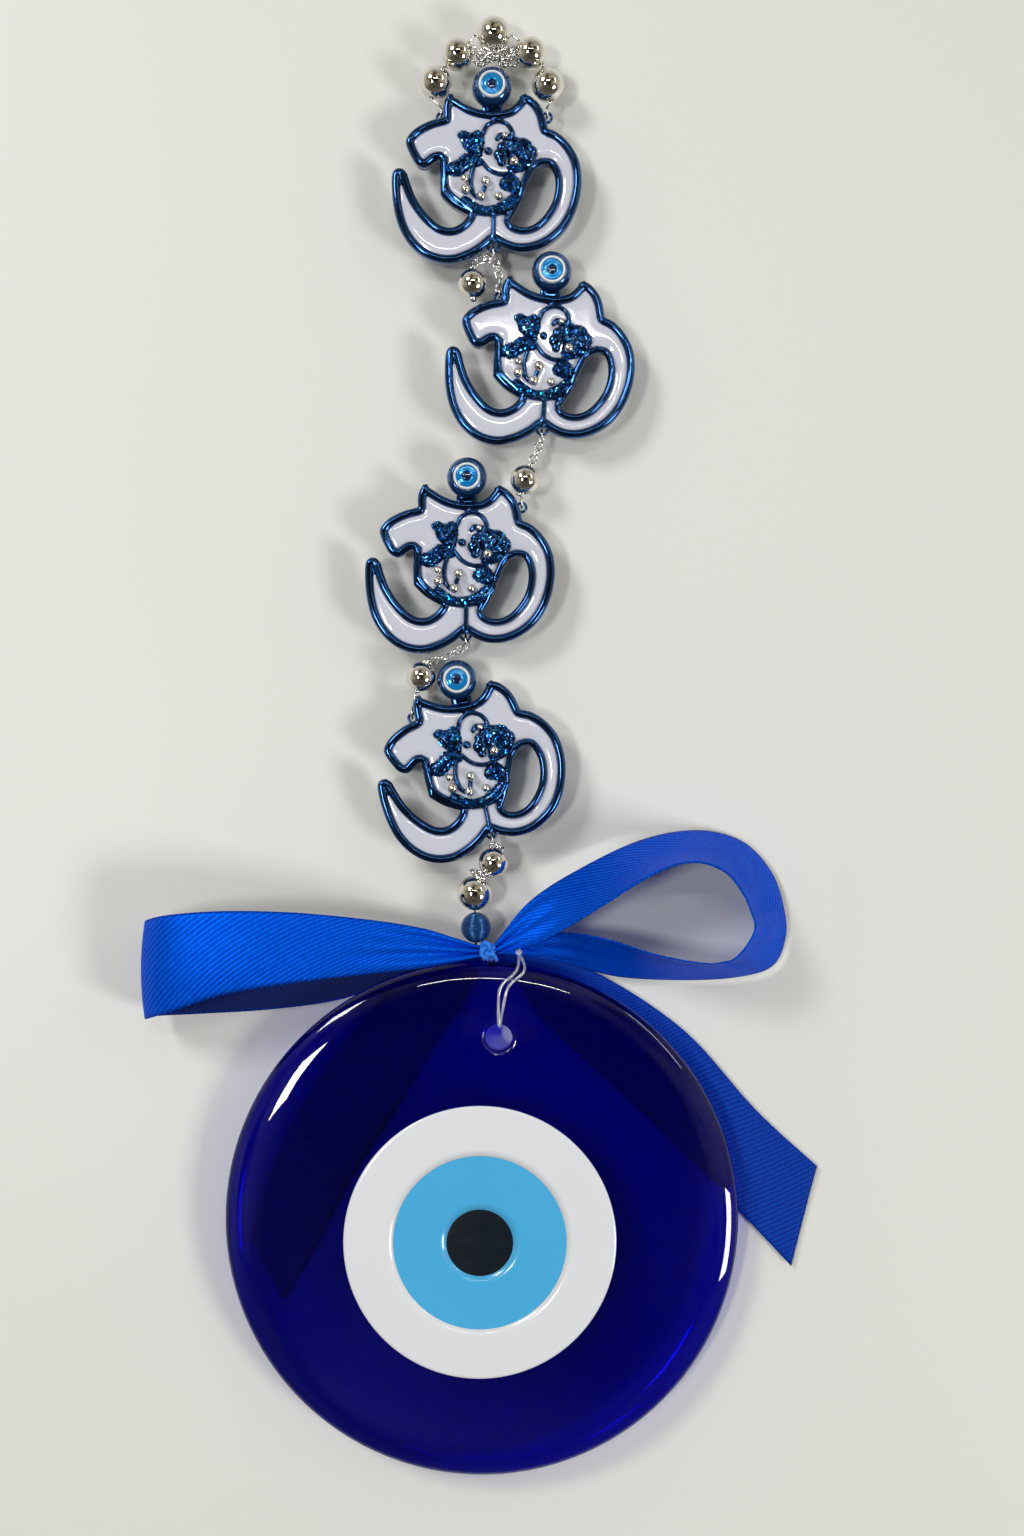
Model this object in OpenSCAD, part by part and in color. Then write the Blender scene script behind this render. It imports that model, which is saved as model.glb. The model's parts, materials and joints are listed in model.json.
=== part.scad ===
// Evil eye hanging ornament: a beaded hanging loop, four cast and enamelled charms strung
// one below the other, a satin bow and a large fused-glass eye disc on a nylon thread.
// Millimetres. +Z is up, the front faces -Y, and the origin is where the loop hangs on its nail.

/* [Charm casting] */
// Thickness of the casting, front to back
charm_t = 3.6; // [3:0.2:4.6]
// Width of the raised rim around the enamel
rim_w = 1.7; // [1.3:0.1:2]
// Depth of the pocket that holds the enamel
pocket_depth = 1.4; // [1:0.1:1.8]
// How far the enamel lies below the rim
enamel_recess = 0.25; // [0.1:0.05:0.4]
// Width of the raised lines that draw the figure
line_w = 0.8; // [0.6:0.1:1]
// Height of the glittered fields over the enamel
glitter_h = 0.7; // [0.5:0.1:0.9]
// Radius of a stringing eyelet
eyelet_r = 1.45; // [1.4:0.05:1.6]
// Radius of the hole in a stringing eyelet
eyelet_hole_r = 0.75; // [0.7:0.05:0.8]
// Thickness of a stringing eyelet
eyelet_t = 1.2; // [1:0.1:1.3]

/* [Charm eye bead] */
// Radius of the round eye bead
eye_r = 4.8; // [4.4:0.1:5]
// Height of the eye bead's dome in front of its seat
eye_h = 3.4; // [3:0.1:4]
// Radius of the white ring
eye_white_r = 3.2; // [3:0.1:3.4]
// Radius of the light-blue ring
eye_iris_r = 2.1; // [1.9:0.1:2.3]
// Radius of the dark pupil
eye_pupil_r = 1.1; // [0.9:0.1:1.3]

/* [Silver balls and string] */
// Radius of the large ball at the top of the loop and on the drop
big_ball_r = 4.1; // [3.9:0.1:4.2]
// Radius of the other balls on the loop
ball_r = 3.8; // [3.6:0.05:3.85]
// Radius of the balls on the links
small_ball_r = 3.5; // [3.2:0.1:3.6]
// Radius of the bore through every ball
ball_bore_r = 0.75; // [0.65:0.05:0.9]
// Radius of the string
string_r = 0.3; // [0.25:0.01:0.35]
// Radius of a seed bead on a link
seed_r = 0.95; // [0.8:0.05:1.05]
// Radius of a seed bead on the loop's swag
swag_seed_r = 0.85; // [0.7:0.05:0.95]
// Radius of the seed bead beside the last charm
small_seed_r = 0.8; // [0.7:0.05:0.9]
// Radius of the seed bead on the drop
drop_seed_r = 0.45; // [0.4:0.05:0.5]

/* [Glass disc] */
// Diameter of the glass disc
disc_d = 121; // [110:1:124]
// Thickness of the glass disc
disc_t = 6.5; // [5.5:0.5:7]
// Diameter of the hanging hole
disc_hole_d = 6.4; // [5.5:0.1:7]
// Distance from the middle of the disc up to the hanging hole
disc_hole_up = 43; // [40:0.5:45]
// How far the eye sits below the middle of the disc
disc_eye_down = 4.8; // [3:0.1:6]
// Radius of the white spot
white_r = 32; // [28:0.5:33]
// Radius of the light-blue spot
iris_r = 21; // [18:0.5:23]
// Radius of the black pupil
pupil_r = 8.4; // [7:0.1:10]
// Depth that the fused spots reach into the glass
spot_depth = 1.6; // [1:0.1:2]
// How far the fused spots stand out of the glass
spot_proud = 0.3; // [0.1:0.1:0.5]

/* [Ribbon bow] */
// Thickness that stands in for the satin ribbon
ribbon_t = 0.6; // [0.5:0.1:0.7]
// Radius of the cord binding around the waist of the bow
binding_r = 1.8; // [1.6:0.1:1.9]
// Length of the cord binding, between the ends of the ribbon loops
binding_l = 2.1; // [1.8:0.1:2.2]
// Radius of the cord knot in front of the waist
knot_r = 1.7; // [1.5:0.1:1.8]

/* [Hidden] */
$fn = 32;
fit_gap = 0.02;        // clearance between pieces fused or set into each other
steps = 4;             // facets from one control point of a curve to the next
front_y = -charm_t / 2;
back_y = charm_t / 2;
floor_y = front_y + pocket_depth;       // floor of the enamel pocket
enamel_y = front_y + enamel_recess;     // front of the enamel
eyelet_y = back_y - eyelet_t / 2;       // middle of an eyelet, flush with the charm's back
ring_r = sqrt(pow(eyelet_t / 2, 2) + pow((eyelet_r - eyelet_hole_r) / 2, 2)) + string_r + 0.2;
eyelet_bar = (eyelet_r + eyelet_hole_r) / 2;  // from an eyelet's middle to the middle of its bar

// Charms: middle of the eye bead (x, z) and turn, clockwise from the front
charm_at = [[-0.2, -8.5], [13.9, -52], [-6.1, -100.5], [-8.5, -148.2]];
charm_turn = [0, 4, 1, -12];
left_eyelet = [-12, -6.6];
right_eyelet = [13, -6.6];
low_eyelet = [0.3, -37.2];
charm_eyelets = [[left_eyelet, right_eyelet, low_eyelet], [left_eyelet, low_eyelet],
    [right_eyelet, low_eyelet], [left_eyelet, low_eyelet]];

// ---- Curves ----

// A point of the Catmull-Rom curve through p, a share t of the way from p[i] to p[i + 1]
function spline_at(p, i, t) =
    let (a = p[max(i - 1, 0)], b = p[i], c = p[i + 1], d = p[min(i + 2, len(p) - 1)])
    0.5 * (2 * b + (c - a) * t + (2 * a - 5 * b + 4 * c - d) * t * t
        + (3 * b - a - 3 * c + d) * t * t * t);

// The curve through p as points, without its last point so that curves can follow each other
function curve(p, n = steps) = [for (i = [0:len(p) - 2], k = [0:n - 1]) spline_at(p, i, k / n)];

// The same with its last point
function whole_curve(p, n = steps) = concat(curve(p, n), [p[len(p) - 1]]);

function unit(v) = v / norm(v);
function between(a, b, t) = a + (b - a) * t;
function reverse(p) = [for (i = [len(p) - 1:-1:0]) p[i]];

// Outline of a line of width w drawn along the points p of a plane
function line_outline(p, w) =
    let (last = len(p) - 1,
        side = [for (i = [0:last]) let (d = unit(p[min(i + 1, last)] - p[max(i - 1, 0)])) [-d.y, d.x]])
    concat([for (i = [0:last]) p[i] + side[i] * w / 2],
        [for (i = [last:-1:0]) p[i] - side[i] * w / 2]);

// A flat shape, drawn as seen from the front, made solid from y = from to y = to
module slab(from, to) {
    translate([0, to, 0]) rotate([90, 0, 0]) linear_extrude(to - from) children();
}

// A shape turned about an axis that runs front to back
module turned_to_front() {
    rotate([90, 0, 0]) rotate_extrude() children();
}

// A string through the points p: an eight-sided tube whose sides are carried along without twist
module string_along(p, r = string_r) {
    sides = 8;
    last = len(p) - 1;
    along = [for (i = [0:last]) unit(unit(p[min(i + 1, last)] - p[min(i, last - 1)])
        + unit(p[max(i, 1)] - p[max(i - 1, 0)]))];
    start = unit(cross(along[0], abs(along[0].x) < 0.8 ? [1, 0, 0] : [0, 1, 0]));
    across = [for (i = 0, u = start; i <= last; i = i + 1,
        u = i <= last ? unit(u - (u * along[i]) * along[i]) : u) u];
    points = [for (i = [0:last])
        let (u = across[i], v = cross(along[i], u))
        for (k = [0:sides - 1]) p[i] + r * (cos(360 * k / sides) * u + sin(360 * k / sides) * v)];
    walls = [for (i = [0:last - 1], k = [0:sides - 1])
        let (a = sides * i + k, b = sides * i + (k + 1) % sides)
        each [[a, a + sides, b], [b, a + sides, b + sides]]];
    polyhedron(points, concat([[for (k = [0:sides - 1]) k]], walls,
        [[for (k = [sides - 1:-1:0]) sides * last + k]]));
}

// A string's turn around the bar of an eyelet, in the plane of Y and Z. It leaves downwards or upwards.
function turn_down(at) = [for (a = [45:35:325]) at + ring_r * [0, sin(a), -cos(a)]];
function turn_up(at) = [for (a = [325:-35:45]) at + ring_r * [0, sin(a), cos(a)]];

// A ball with a bore along direction d
module bored_ball(at, d, r) {
    translate(at) rotate([0, acos(d.z / norm(d)), atan2(d.y, d.x)]) difference() {
        sphere(r);
        cylinder(h = 3 * r, r = ball_bore_r, center = true);
    }
}

// ---- Charm, drawn about the middle of its eye bead: x to the right, y up ----

outline = concat(
    // hollow that the eye bead sits in, from the left tip to the right tip
    curve([[-10, -2], [-7.5, -3.6], [-4.5, -5.2], [-1, -6], [2.5, -5.9], [5, -4.8], [7.4, -1.9]]),
    // right tip and shoulder, down to the notch
    curve([[7.4, -1.9], [9.3, -2.7], [11.2, -4.6], [12.3, -6.8], [13.1, -10.1]]),
    // right lobe, down to the bottom notch
    curve([[13.1, -10.1], [15.6, -11.2], [18.3, -13.8], [20.3, -17.4], [21, -21.6], [20.6, -26],
        [19.2, -30.4], [16.8, -34.2], [13.4, -37], [9.6, -38.6], [5.8, -38.8], [2.6, -37.8], [0.3, -36.4]]),
    // left lobe, round to its tip
    curve([[0.3, -36.4], [-2, -38.4], [-5, -40.2], [-8.8, -41.5], [-12.6, -41.4], [-16.2, -40],
        [-19.4, -37.2], [-21.7, -33.4], [-23, -28.8], [-23.5, -24], [-23.4, -20.8], [-22.6, -19.6],
        [-21.2, -19.5], [-20.1, -20.6]]),
    // inside of the left lobe, up to the bowl
    curve([[-20.1, -20.6], [-19.2, -23.4], [-17.8, -26.7], [-15.4, -30.1], [-12.4, -32.8],
        [-9.5, -33.4], [-7, -32.2], [-5.4, -30.3]]),
    // left side of the bowl
    [[-5.4, -30.3], [-9.2, -28.2], [-12, -25.6], [-12.2, -21.6], [-12.2, -17.4]],
    // arm: underside, blunt tip and top
    curve([[-12, -17.2], [-13.4, -17.5], [-15.6, -19], [-17.6, -18.4], [-19.2, -16], [-20.2, -13.2],
        [-19.4, -11.4], [-17.6, -9.8], [-14.6, -8.3], [-11.3, -7.4]]),
    // left side of the hollow
    curve([[-11.3, -7.4], [-11.4, -5.4], [-11, -3.4], [-10, -2]])
);

teardrop = concat(
    curve([[11.8, -18.2], [13.9, -18.6], [15.1, -21.3], [15.2, -24.4], [14.3, -27.8], [12.3, -30.9],
        [9.8, -33], [7.1, -33.6], [4.8, -32.9], [4, -31.6]]),
    curve([[4, -31.6], [5.9, -28.4], [7.1, -25.4], [8.2, -22.4], [9.6, -19.6], [11.8, -18.2]])
);

// Raised lines of the seated elephant-headed figure
figure_lines = [
    whole_curve([[-2.3, -11.2], [-1.2, -9.3], [1, -8.2], [3.3, -8.9], [4.7, -11.2], [4.7, -12.6]]),
    whole_curve([[-3, -18.4], [-1.2, -20.2], [1.4, -21.1], [5, -21]]),
    whole_curve([[-11.2, -18], [-10.6, -24], [-7.4, -27.4], [-3.6, -29.9], [0.4, -30.2], [3.9, -29.2],
        [6.5, -26.6], [7, -24.2]]),
    whole_curve([[0.3, -30], [0.35, -33], [0.3, -36.6]]),
    whole_curve([[-1.4, -23], [-2, -24.6], [-2.4, -26.4]]),
    whole_curve([[-4.4, -19.4], [-5, -22], [-4.6, -25], [-3.4, -26.4]]),
    whole_curve([[1.2, -12.6], [2, -11.6], [3.4, -12]])
];

// Fields that carry glitter: ears, raised hands and the band of the crossed legs
glitter_fields = [
    [[-7.5, -11.8], [-6.2, -10.8], [-2.8, -10.4], [-1.9, -12.8], [-1.9, -15.8], [-4.3, -15.8], [-6.2, -14.4]],
    [[4.4, -13.2], [6.4, -12.5], [8.2, -13], [10.2, -15.7], [9.4, -17.4], [7.6, -19.6], [5.6, -20.4],
        [3.8, -19.8], [4.6, -17.2]],
    [[-2.6, -18.2], [-3.6, -16.4], [-6.6, -16.8], [-8.8, -18.4], [-10.4, -19], [-10.2, -20.6],
        [-8.2, -21.2], [-6.2, -20.2], [-4.6, -18.9]],
    [[2.2, -22.8], [3.8, -21.8], [5.4, -21.9], [6.3, -23.8], [4.6, -25.4], [2.4, -24.6]],
    [[-7.6, -26.6], [-6.2, -26.4], [-3.4, -28.4], [0.4, -28.8], [3.6, -27.8], [5.4, -26], [6.4, -26.2],
        [3.9, -29], [0.4, -30], [-3.6, -29.7]]
];
trunk = [[0.5, -15], [2, -13.9], [3.8, -14.2], [4.2, -16.2], [3.2, -18.3], [1.7, -18.9], [0.7, -17.6]];

// Silver studs: middle and radius
studs = [[-6.5, -22.3, 0.85], [-6.3, -24.6, 1.1], [-1.4, -22.9, 1.05], [-2.5, -26.6, 1.05],
    [1.5, -26.5, 0.9], [5.3, -17.9, 1.05], [0.1, -12.9, 0.6]];

module charm_shape() {
    difference() {
        polygon(outline);
        polygon(teardrop);
    }
}

module figure_shape() {
    for (p = figure_lines) polygon(line_outline(p, line_w));
    for (p = glitter_fields) polygon(p);
    polygon(trunk);
}

module enamel_shape(gap) {
    difference() {
        polygon(outline);
        offset(delta = 0.01) difference() {
            polygon(outline);
            offset(delta = -rim_w - gap) polygon(outline);
        }
        offset(delta = rim_w - 0.5 + gap) polygon(teardrop);
        offset(delta = gap) figure_shape();
    }
}

module at_charm(n) {
    translate([charm_at[n - 1].x, 0, charm_at[n - 1].y]) rotate([0, charm_turn[n - 1], 0]) children();
}

// Where a point of charm n, drawn about its eye bead, comes to in the ornament
function on_charm(n, p, y) =
    let (a = charm_turn[n - 1], c = charm_at[n - 1])
    [c.x + p.x * cos(a) + p.y * sin(a), y, c.y - p.x * sin(a) + p.y * cos(a)];

module charm_frame(n) {
    color("midnightblue") at_charm(n) difference() {
        union() {
            slab(front_y, back_y) charm_shape();
            slab(back_y - eyelet_t, back_y) for (e = charm_eyelets[n - 1])
                translate(e) circle(eyelet_r);
            // tab behind the eye bead that it is glued to
            slab(back_y - eyelet_t, back_y) translate([-2.5, -7]) square([5, 8.5]);
        }
        slab(front_y - 1, floor_y) enamel_shape(0);
        slab(-5, 5) for (e = charm_eyelets[n - 1])
            translate(e) circle(eyelet_hole_r);
    }
}

module charm_enamel(n) {
    color("ghostwhite") at_charm(n) slab(enamel_y, floor_y) enamel_shape(fit_gap);
}

module charm_glitter(n) {
    color("steelblue") at_charm(n) difference() {
        slab(front_y - glitter_h, front_y) for (p = glitter_fields) offset(delta = -0.1) polygon(p);
        stud_balls(fit_gap);
    }
}

// The studs as balls, made larger by gap for the pockets they sit in
module stud_balls(gap) {
    for (s = studs) translate([s[0], front_y - glitter_h - 0.05 - s[2] / 3, s[1]]) sphere(s[2] * 0.9 + gap);
}

module charm_studs(n) {
    color("silver") at_charm(n) stud_balls(0);
}

// Where the eye bead's flat back meets its tab
seat_y = back_y - eyelet_t;
// Rings fused into the front of the eye bead, from radius a to radius b
eye_face_y = seat_y - eye_h + 0.5;
module eye_ring(a, b) {
    translate([0, eye_face_y, 0]) turned_to_front() translate([a, -0.3]) square([b - a, 0.9]);
}

module charm_eye_bead(n) {
    color("darkblue") at_charm(n) difference() {
        translate([0, seat_y, 0]) turned_to_front() polygon(concat([[0, 0]],
            [for (a = [0:6:84]) [eye_r * (0.86 + 0.14 * sin(2 * a)) * cos(a * 0.95), eye_h * sin(a)]],
            [[0, eye_h]]));
        translate([0, eye_face_y, 0]) turned_to_front() translate([0, -0.3])
            square([eye_white_r + fit_gap, 3]);
    }
}

module charm_eye_white(n) {
    color("white") at_charm(n) eye_ring(eye_iris_r + fit_gap, eye_white_r);
}

module charm_eye_iris(n) {
    color("skyblue") at_charm(n) eye_ring(eye_pupil_r + fit_gap, eye_iris_r);
}

module charm_eye_pupil(n) {
    color("midnightblue") at_charm(n) eye_ring(0, eye_pupil_r);
}

// ---- Hanging loop ----

// Ball middles (x, z) and radii, from the left end of the loop to the right end
loop_balls = [[-13.5, -7.3], [-8.3, -0.6], [0.2, 4.1], [8.9, -0.4], [13, -7.9]];
loop_ball_r = [ball_r, ball_r, big_ball_r, ball_r, ball_r];
loop_tilt = [75, 50, 0, -48, -80];   // direction of each bore, up from +X

function in_plane(p, y = 0) = [p.x, y, p.y];
function bore_dir(a) = [cos(a), 0, sin(a)];
loop_left_ring = on_charm(1, left_eyelet + [0, eyelet_bar], eyelet_y);
loop_right_ring = on_charm(1, right_eyelet + [0, eyelet_bar], eyelet_y);
function ball_end(i, s) =
    in_plane(loop_balls[i]) + s * (loop_ball_r[i] + 0.1) * bore_dir(loop_tilt[i]);

module loop_string() {
    color("gainsboro") {
        string_along(concat(
            reverse(turn_up(loop_left_ring)),
            [for (i = [0:4], s = [-1, 1]) ball_end(i, s)],
            turn_up(loop_right_ring)));
        string_along(swag);
    }
}

// Short swag of string with seed beads, across the inside of the loop
swag = [between(ball_end(1, 1), ball_end(2, -1), 0.5), [-3.6, 0, 0.7], [-3.1, 0, -1.7], [-1.1, 0, -2.3],
    [1.2, 0, -2.3], [3.3, 0, -1.9], [3.9, 0, 0.6], between(ball_end(2, 1), ball_end(3, -1), 0.5)];

module seed(at, d = [1, 0, 0], r = seed_r) {
    translate(at) rotate([0, acos(d.z / norm(d)), atan2(d.y, d.x)]) difference() {
        rotate_extrude() seed_section(r);
        cylinder(h = 4 * r, r = string_r + 0.03, center = true);
    }
}

// Half section of a seed bead: a short barrel with rounded sides
module seed_section(r) {
    intersection() {
        circle(r, $fn = 24);
        translate([0, -0.8 * r]) square([r, 1.6 * r]);
    }
}

module loop_seed_beads() {
    color("silver") {
        for (i = [2:4]) {
            d = swag[i + 1] - swag[i];
            seed(swag[i] + d / 2, d, swag_seed_r);
        }
    }
}

module loop_ball(i) {
    color("silver") bored_ball(in_plane(loop_balls[i - 1]), bore_dir(loop_tilt[i - 1]), loop_ball_r[i - 1]);
}

// ---- Links between the charms ----

function low_ring(n) = on_charm(n, low_eyelet - [0, eyelet_bar], eyelet_y);
function top_ring(n, e) = on_charm(n, e + [0, eyelet_bar], eyelet_y);
function ring_foot(p) = p + [0, 0, -ring_r];
function ring_head(p) = p + [0, 0, ring_r];

// Route of each link's string from the charm above to the charm below
link_from = [for (n = [1:3]) low_ring(n)];
link_to = [top_ring(2, left_eyelet), top_ring(3, right_eyelet), top_ring(4, left_eyelet)];
link_ball = [[-4.8, 0, -54.8], [7.6, 0, -101], [-16.9, 0, -147.5]];
link_ball_dir = [[0, 0, -1], [-2, 0, -5], [-1, 0, -3]];

function link_ball_end(n, s) = link_ball[n - 1] + s * (small_ball_r + 0.15) * unit(link_ball_dir[n - 1]);

link_way = [
    [ring_foot(link_from[0]), ring_head(link_to[0])],
    [ring_foot(link_from[1]), link_ball_end(2, -1), link_ball_end(2, 1), ring_head(link_to[1])],
    [ring_foot(link_from[2]), [-10.8, 0.4, -142.6], link_ball_end(3, -1), link_ball_end(3, 1),
        [-19.9, 0.6, -152.6], ring_head(link_to[2])]
];
stopper_r = ball_bore_r + 0.25;      // knot that holds the first link's ball
link_1_side = [between(link_way[0][0], link_way[0][1], 0.08), [-3.4, 0.4, -49.6], link_ball_end(1, -1),
    link_ball_end(1, 1), link_ball_end(1, 1) - [0, 0, stopper_r]];

module link_strand(n) {
    color("gainsboro") {
        string_along(concat(turn_down(link_from[n - 1]), link_way[n - 1], turn_up(link_to[n - 1])));
        if (n == 1) {
            string_along(link_1_side);
            translate(link_1_side[4]) sphere(stopper_r);
        }
    }
    color("silver") {
        if (n == 1) {
            for (t = [0.25, 0.6]) seed(between(link_way[0][0], link_way[0][1], t), link_way[0][1] - link_way[0][0]);
        }
        if (n == 2) {
            for (t = [0.25, 0.5, 0.75]) seed(between(link_way[1][0], link_way[1][1], t),
                link_way[1][1] - link_way[1][0]);
        }
        if (n == 3) {
            seed(between(link_way[2][0], link_way[2][1], 0.5), link_way[2][1] - link_way[2][0], small_seed_r);
        }
    }
}

module link_ball(n) {
    color("silver") bored_ball(link_ball[n - 1], link_ball_dir[n - 1], small_ball_r);
}

// ---- Drop below the last charm ----

drop_from = low_ring(4);
drop_ball_1_at = [0.1, 0, -191.2];
drop_ball_2_at = [-4.3, 0, -198.5];
blue_bead_at = [-4, 0, -206.6];
blue_bead_r = 3.6;
waist_z = -212.2;
waist_x = -1.4;

drop_dir_1 = [-2, 0, -4];
drop_dir_2 = [0, 0, -1];
function drop_end(c, d, r, s) = c + s * (r + 0.15) * unit(d);
drop_seed_at = [-3.25, 0, -194];
drop_route = [
    ring_foot(drop_from),
    drop_end(drop_ball_1_at, drop_dir_1, small_ball_r, -1),
    drop_end(drop_ball_1_at, drop_dir_1, small_ball_r, 1),
    drop_seed_at + [0.45, 0, 0],
    drop_seed_at - [0.45, 0, 0],
    drop_end(drop_ball_2_at, drop_dir_2, big_ball_r, -1),
    drop_end(drop_ball_2_at, drop_dir_2, big_ball_r, 1),
    drop_end(blue_bead_at, [0, 0, -1], blue_bead_r, -1),
    [blue_bead_at.x, 0, waist_z]
];

module drop_string() {
    color("gainsboro") {
        string_along(concat(turn_down(drop_from), drop_route));
        // knot that holds the bow
        translate([blue_bead_at.x, 0, waist_z]) sphere(0.7);
    }
}

module drop_seed_beads() {
    color("silver") {
        seed(drop_seed_at, [1, 0, 0], drop_seed_r);
    }
}

module drop_ball(n) {
    if (n == 1) color("silver") bored_ball(drop_ball_1_at, drop_dir_1, small_ball_r);
    if (n == 2) color("silver") bored_ball(drop_ball_2_at, drop_dir_2, big_ball_r);
}

module drop_blue_bead() {
    color("darkblue") bored_ball(blue_bead_at, [0, 0, 1], blue_bead_r);
}

// ---- Bow: binding, loops and tails of satin ribbon ----

module cord_knot() {
    color("royalblue") {
        translate([waist_x, 0, waist_z]) rotate([0, 90, 0]) cylinder(h = binding_l, r = binding_r, center = true);
        translate([waist_x, -1.4 - knot_r, waist_z + 0.6]) sphere(knot_r);
    }
}

// A strip of ribbon between two edge curves, thick enough to be solid
module ribbon(edge_a, edge_b) {
    a = whole_curve(edge_a, 3);
    b = whole_curve(edge_b, 3);
    last = len(a) - 1;
    side = [for (i = [0:last])
        unit(cross(a[min(i + 1, last)] + b[min(i + 1, last)] - a[max(i - 1, 0)] - b[max(i - 1, 0)],
            b[i] - a[i])) * ribbon_t / 2];
    points = [for (i = [0:last], p = [a[i] - side[i], b[i] - side[i], b[i] + side[i], a[i] + side[i]]) p];
    walls = [for (i = [0:last - 1], k = [0:3])
        let (p = 4 * i + k, q = 4 * i + (k + 1) % 4)
        each [[p, p + 4, q], [q, p + 4, q + 4]]];
    polyhedron(points, concat([[0, 1, 2], [0, 2, 3]], walls,
        [[4 * last + 2, 4 * last + 1, 4 * last], [4 * last + 3, 4 * last + 2, 4 * last]]));
}

// Edges of the left loop: from the waist out along the front, around the fold and back behind
left_top = [[-2.8, -1.5, -211], [-9, -3.5, -208.8], [-17, -7, -206], [-29, -10, -203.8], [-45, -12.5, -202],
    [-61, -13, -201.6], [-73.5, -11, -202.6], [-80, -6, -204.2], [-81.4, -1, -205.4], [-79, 3.5, -206.4],
    [-69, 5.5, -207], [-52.5, 6, -207.2], [-36, 5, -207.4], [-22, 3.5, -208.8], [-10, 2, -210.6],
    [-2.8, 1.4, -211.2]];
left_low = [[-2.8, -1.5, -213.2], [-9, -3.5, -214.4], [-17, -7, -215.4], [-29, -10, -216.4],
    [-45, -12.5, -218], [-61, -13, -220.6], [-73.5, -11, -224.8], [-80, -6, -227.2], [-81.4, -1, -227.8],
    [-79, 3.5, -228], [-69, 5.5, -227.8], [-52.5, 6, -226.8], [-36, 5, -224.2], [-22, 3.5, -218.8],
    [-10, 2, -215], [-2.8, 1.4, -213]];

// Edges of the right loop: over the top, around the end and back below
right_outer = [[0, -1.4, -210.8], [8, 0.5, -201], [20, 3, -193.4], [35, 4.5, -186.4], [48.5, 5, -184],
    [59.5, 5, -186.6], [66.5, 5, -194], [69.4, 5, -202.4], [69.8, 5, -209.6], [66.5, 5, -216.4],
    [57.5, 5, -219], [44.5, 5, -219.6], [30, 4.8, -218.8], [18.5, 4.5, -216], [9, 3.4, -214],
    [0, 1.5, -213]];
right_inner = [[0, -1.6, -213], [11, -6, -209.4], [22.5, -10, -202.4], [37, -14, -193], [45.5, -15, -190.4],
    [52.5, -15, -192.4], [56.8, -15, -197.4], [59.6, -15, -204], [58, -15, -208.8], [54, -14, -213],
    [48.5, -12.5, -213.6], [38, -10, -212], [26, -6.5, -208.6], [15.5, -1.5, -207.6], [7.5, 0.9, -209.4],
    [0, 0.9, -211]];

// Edges of the two tails, which hang behind the disc
left_tail_out = [[-3.4, 4.6, -211.6], [-13, 5.6, -215.5], [-27, 6, -226], [-40, 6.2, -241], [-50, 6.4, -258],
    [-55.5, 6.4, -272]];
left_tail_in = [[-0.6, 4.6, -213], [-4.6, 5.6, -221], [-13, 6, -233], [-22, 6.2, -248], [-31.5, 6.4, -265],
    [-40, 6.4, -284]];
right_tail_out = [[1.8, 4.9, -211.2], [12.5, 5.8, -212.8], [25, 6, -218.2], [38, 6, -226], [49, 6, -235],
    [63, 6, -251], [77.6, 6, -264.4]];
right_tail_in = [[-0.2, 4.9, -213], [5, 5.8, -220], [14, 6, -231], [28, 6, -244], [43, 6, -258],
    [57, 6, -273], [71.4, 6, -288.4]];

module bow_left_loop() {
    color("mediumblue") ribbon(left_top, left_low);
}

module bow_right_loop() {
    color("mediumblue") ribbon(right_outer, right_inner);
}

module bow_left_tail() {
    color("mediumblue") ribbon(left_tail_out, left_tail_in);
}

module bow_right_tail() {
    color("mediumblue") ribbon(right_tail_out, right_tail_in);
}

// ---- Disc on its nylon thread ----

disc_at = [-2.6, 0, -275.2];
disc_turn = 5.3;
hole_at = disc_at + disc_hole_up * [sin(disc_turn), 0, cos(disc_turn)];
disc_front = -disc_t / 2;
thread_y = disc_t / 2 + string_r + 0.3;
thread_knot = [6.1, 0, -212.4];
thread_low = hole_at + [0.2, 0, disc_hole_d / 2 - string_r - 0.15];

module disc_thread() {
    color("whitesmoke") {
        translate(thread_knot) sphere(0.8);
        for (s = [-1, 1]) string_along([thread_knot, thread_knot + [0.4 + s * 0.7, -thread_y, -3.6],
            thread_low + [0.4 + s * 0.6, -thread_y, 6.5], thread_low + [0, -thread_y, 0]]);
        string_along([thread_low + [0, -thread_y, 0], thread_low + [0, thread_y, 0],
            thread_knot + [0, thread_y, -3.6], thread_knot]);
    }
}

module at_disc() {
    translate(disc_at) rotate([0, disc_turn, 0]) children();
}

module at_eye() {
    at_disc() translate([0, 0, -disc_eye_down]) children();
}

module disc_glass() {
    color("darkblue") difference() {
        at_disc() turned_to_front() {
            translate([0, -disc_t / 2]) square([(disc_d - disc_t) / 2, disc_t]);
            translate([(disc_d - disc_t) / 2, 0]) circle(disc_t / 2);
        }
        at_disc() translate([0, 0, disc_hole_up]) rotate([90, 0, 0])
            cylinder(h = 2 * disc_t, d = disc_hole_d, center = true);
        // shallow dimple pressed around the hole
        at_disc() translate([0, disc_front + 0.5, disc_hole_up]) rotate([90, 0, 0])
            cylinder(h = 2, r1 = 8, r2 = 13);
        at_eye() translate([0, disc_front + spot_depth, 0]) rotate([90, 0, 0])
            cylinder(h = disc_t, r = white_r + fit_gap);
    }
}

// A fused spot from radius a to radius b
module spot(a, b) {
    at_eye() translate([0, disc_front, 0]) turned_to_front() translate([a, -spot_depth])
        square([b - a, spot_depth + spot_proud]);
}

module disc_white() {
    color("white") spot(iris_r + fit_gap, white_r);
}

module disc_iris() {
    color("skyblue") spot(pupil_r + fit_gap, iris_r);
}

module disc_pupil() {
    color("black") spot(0, pupil_r);
}

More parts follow.
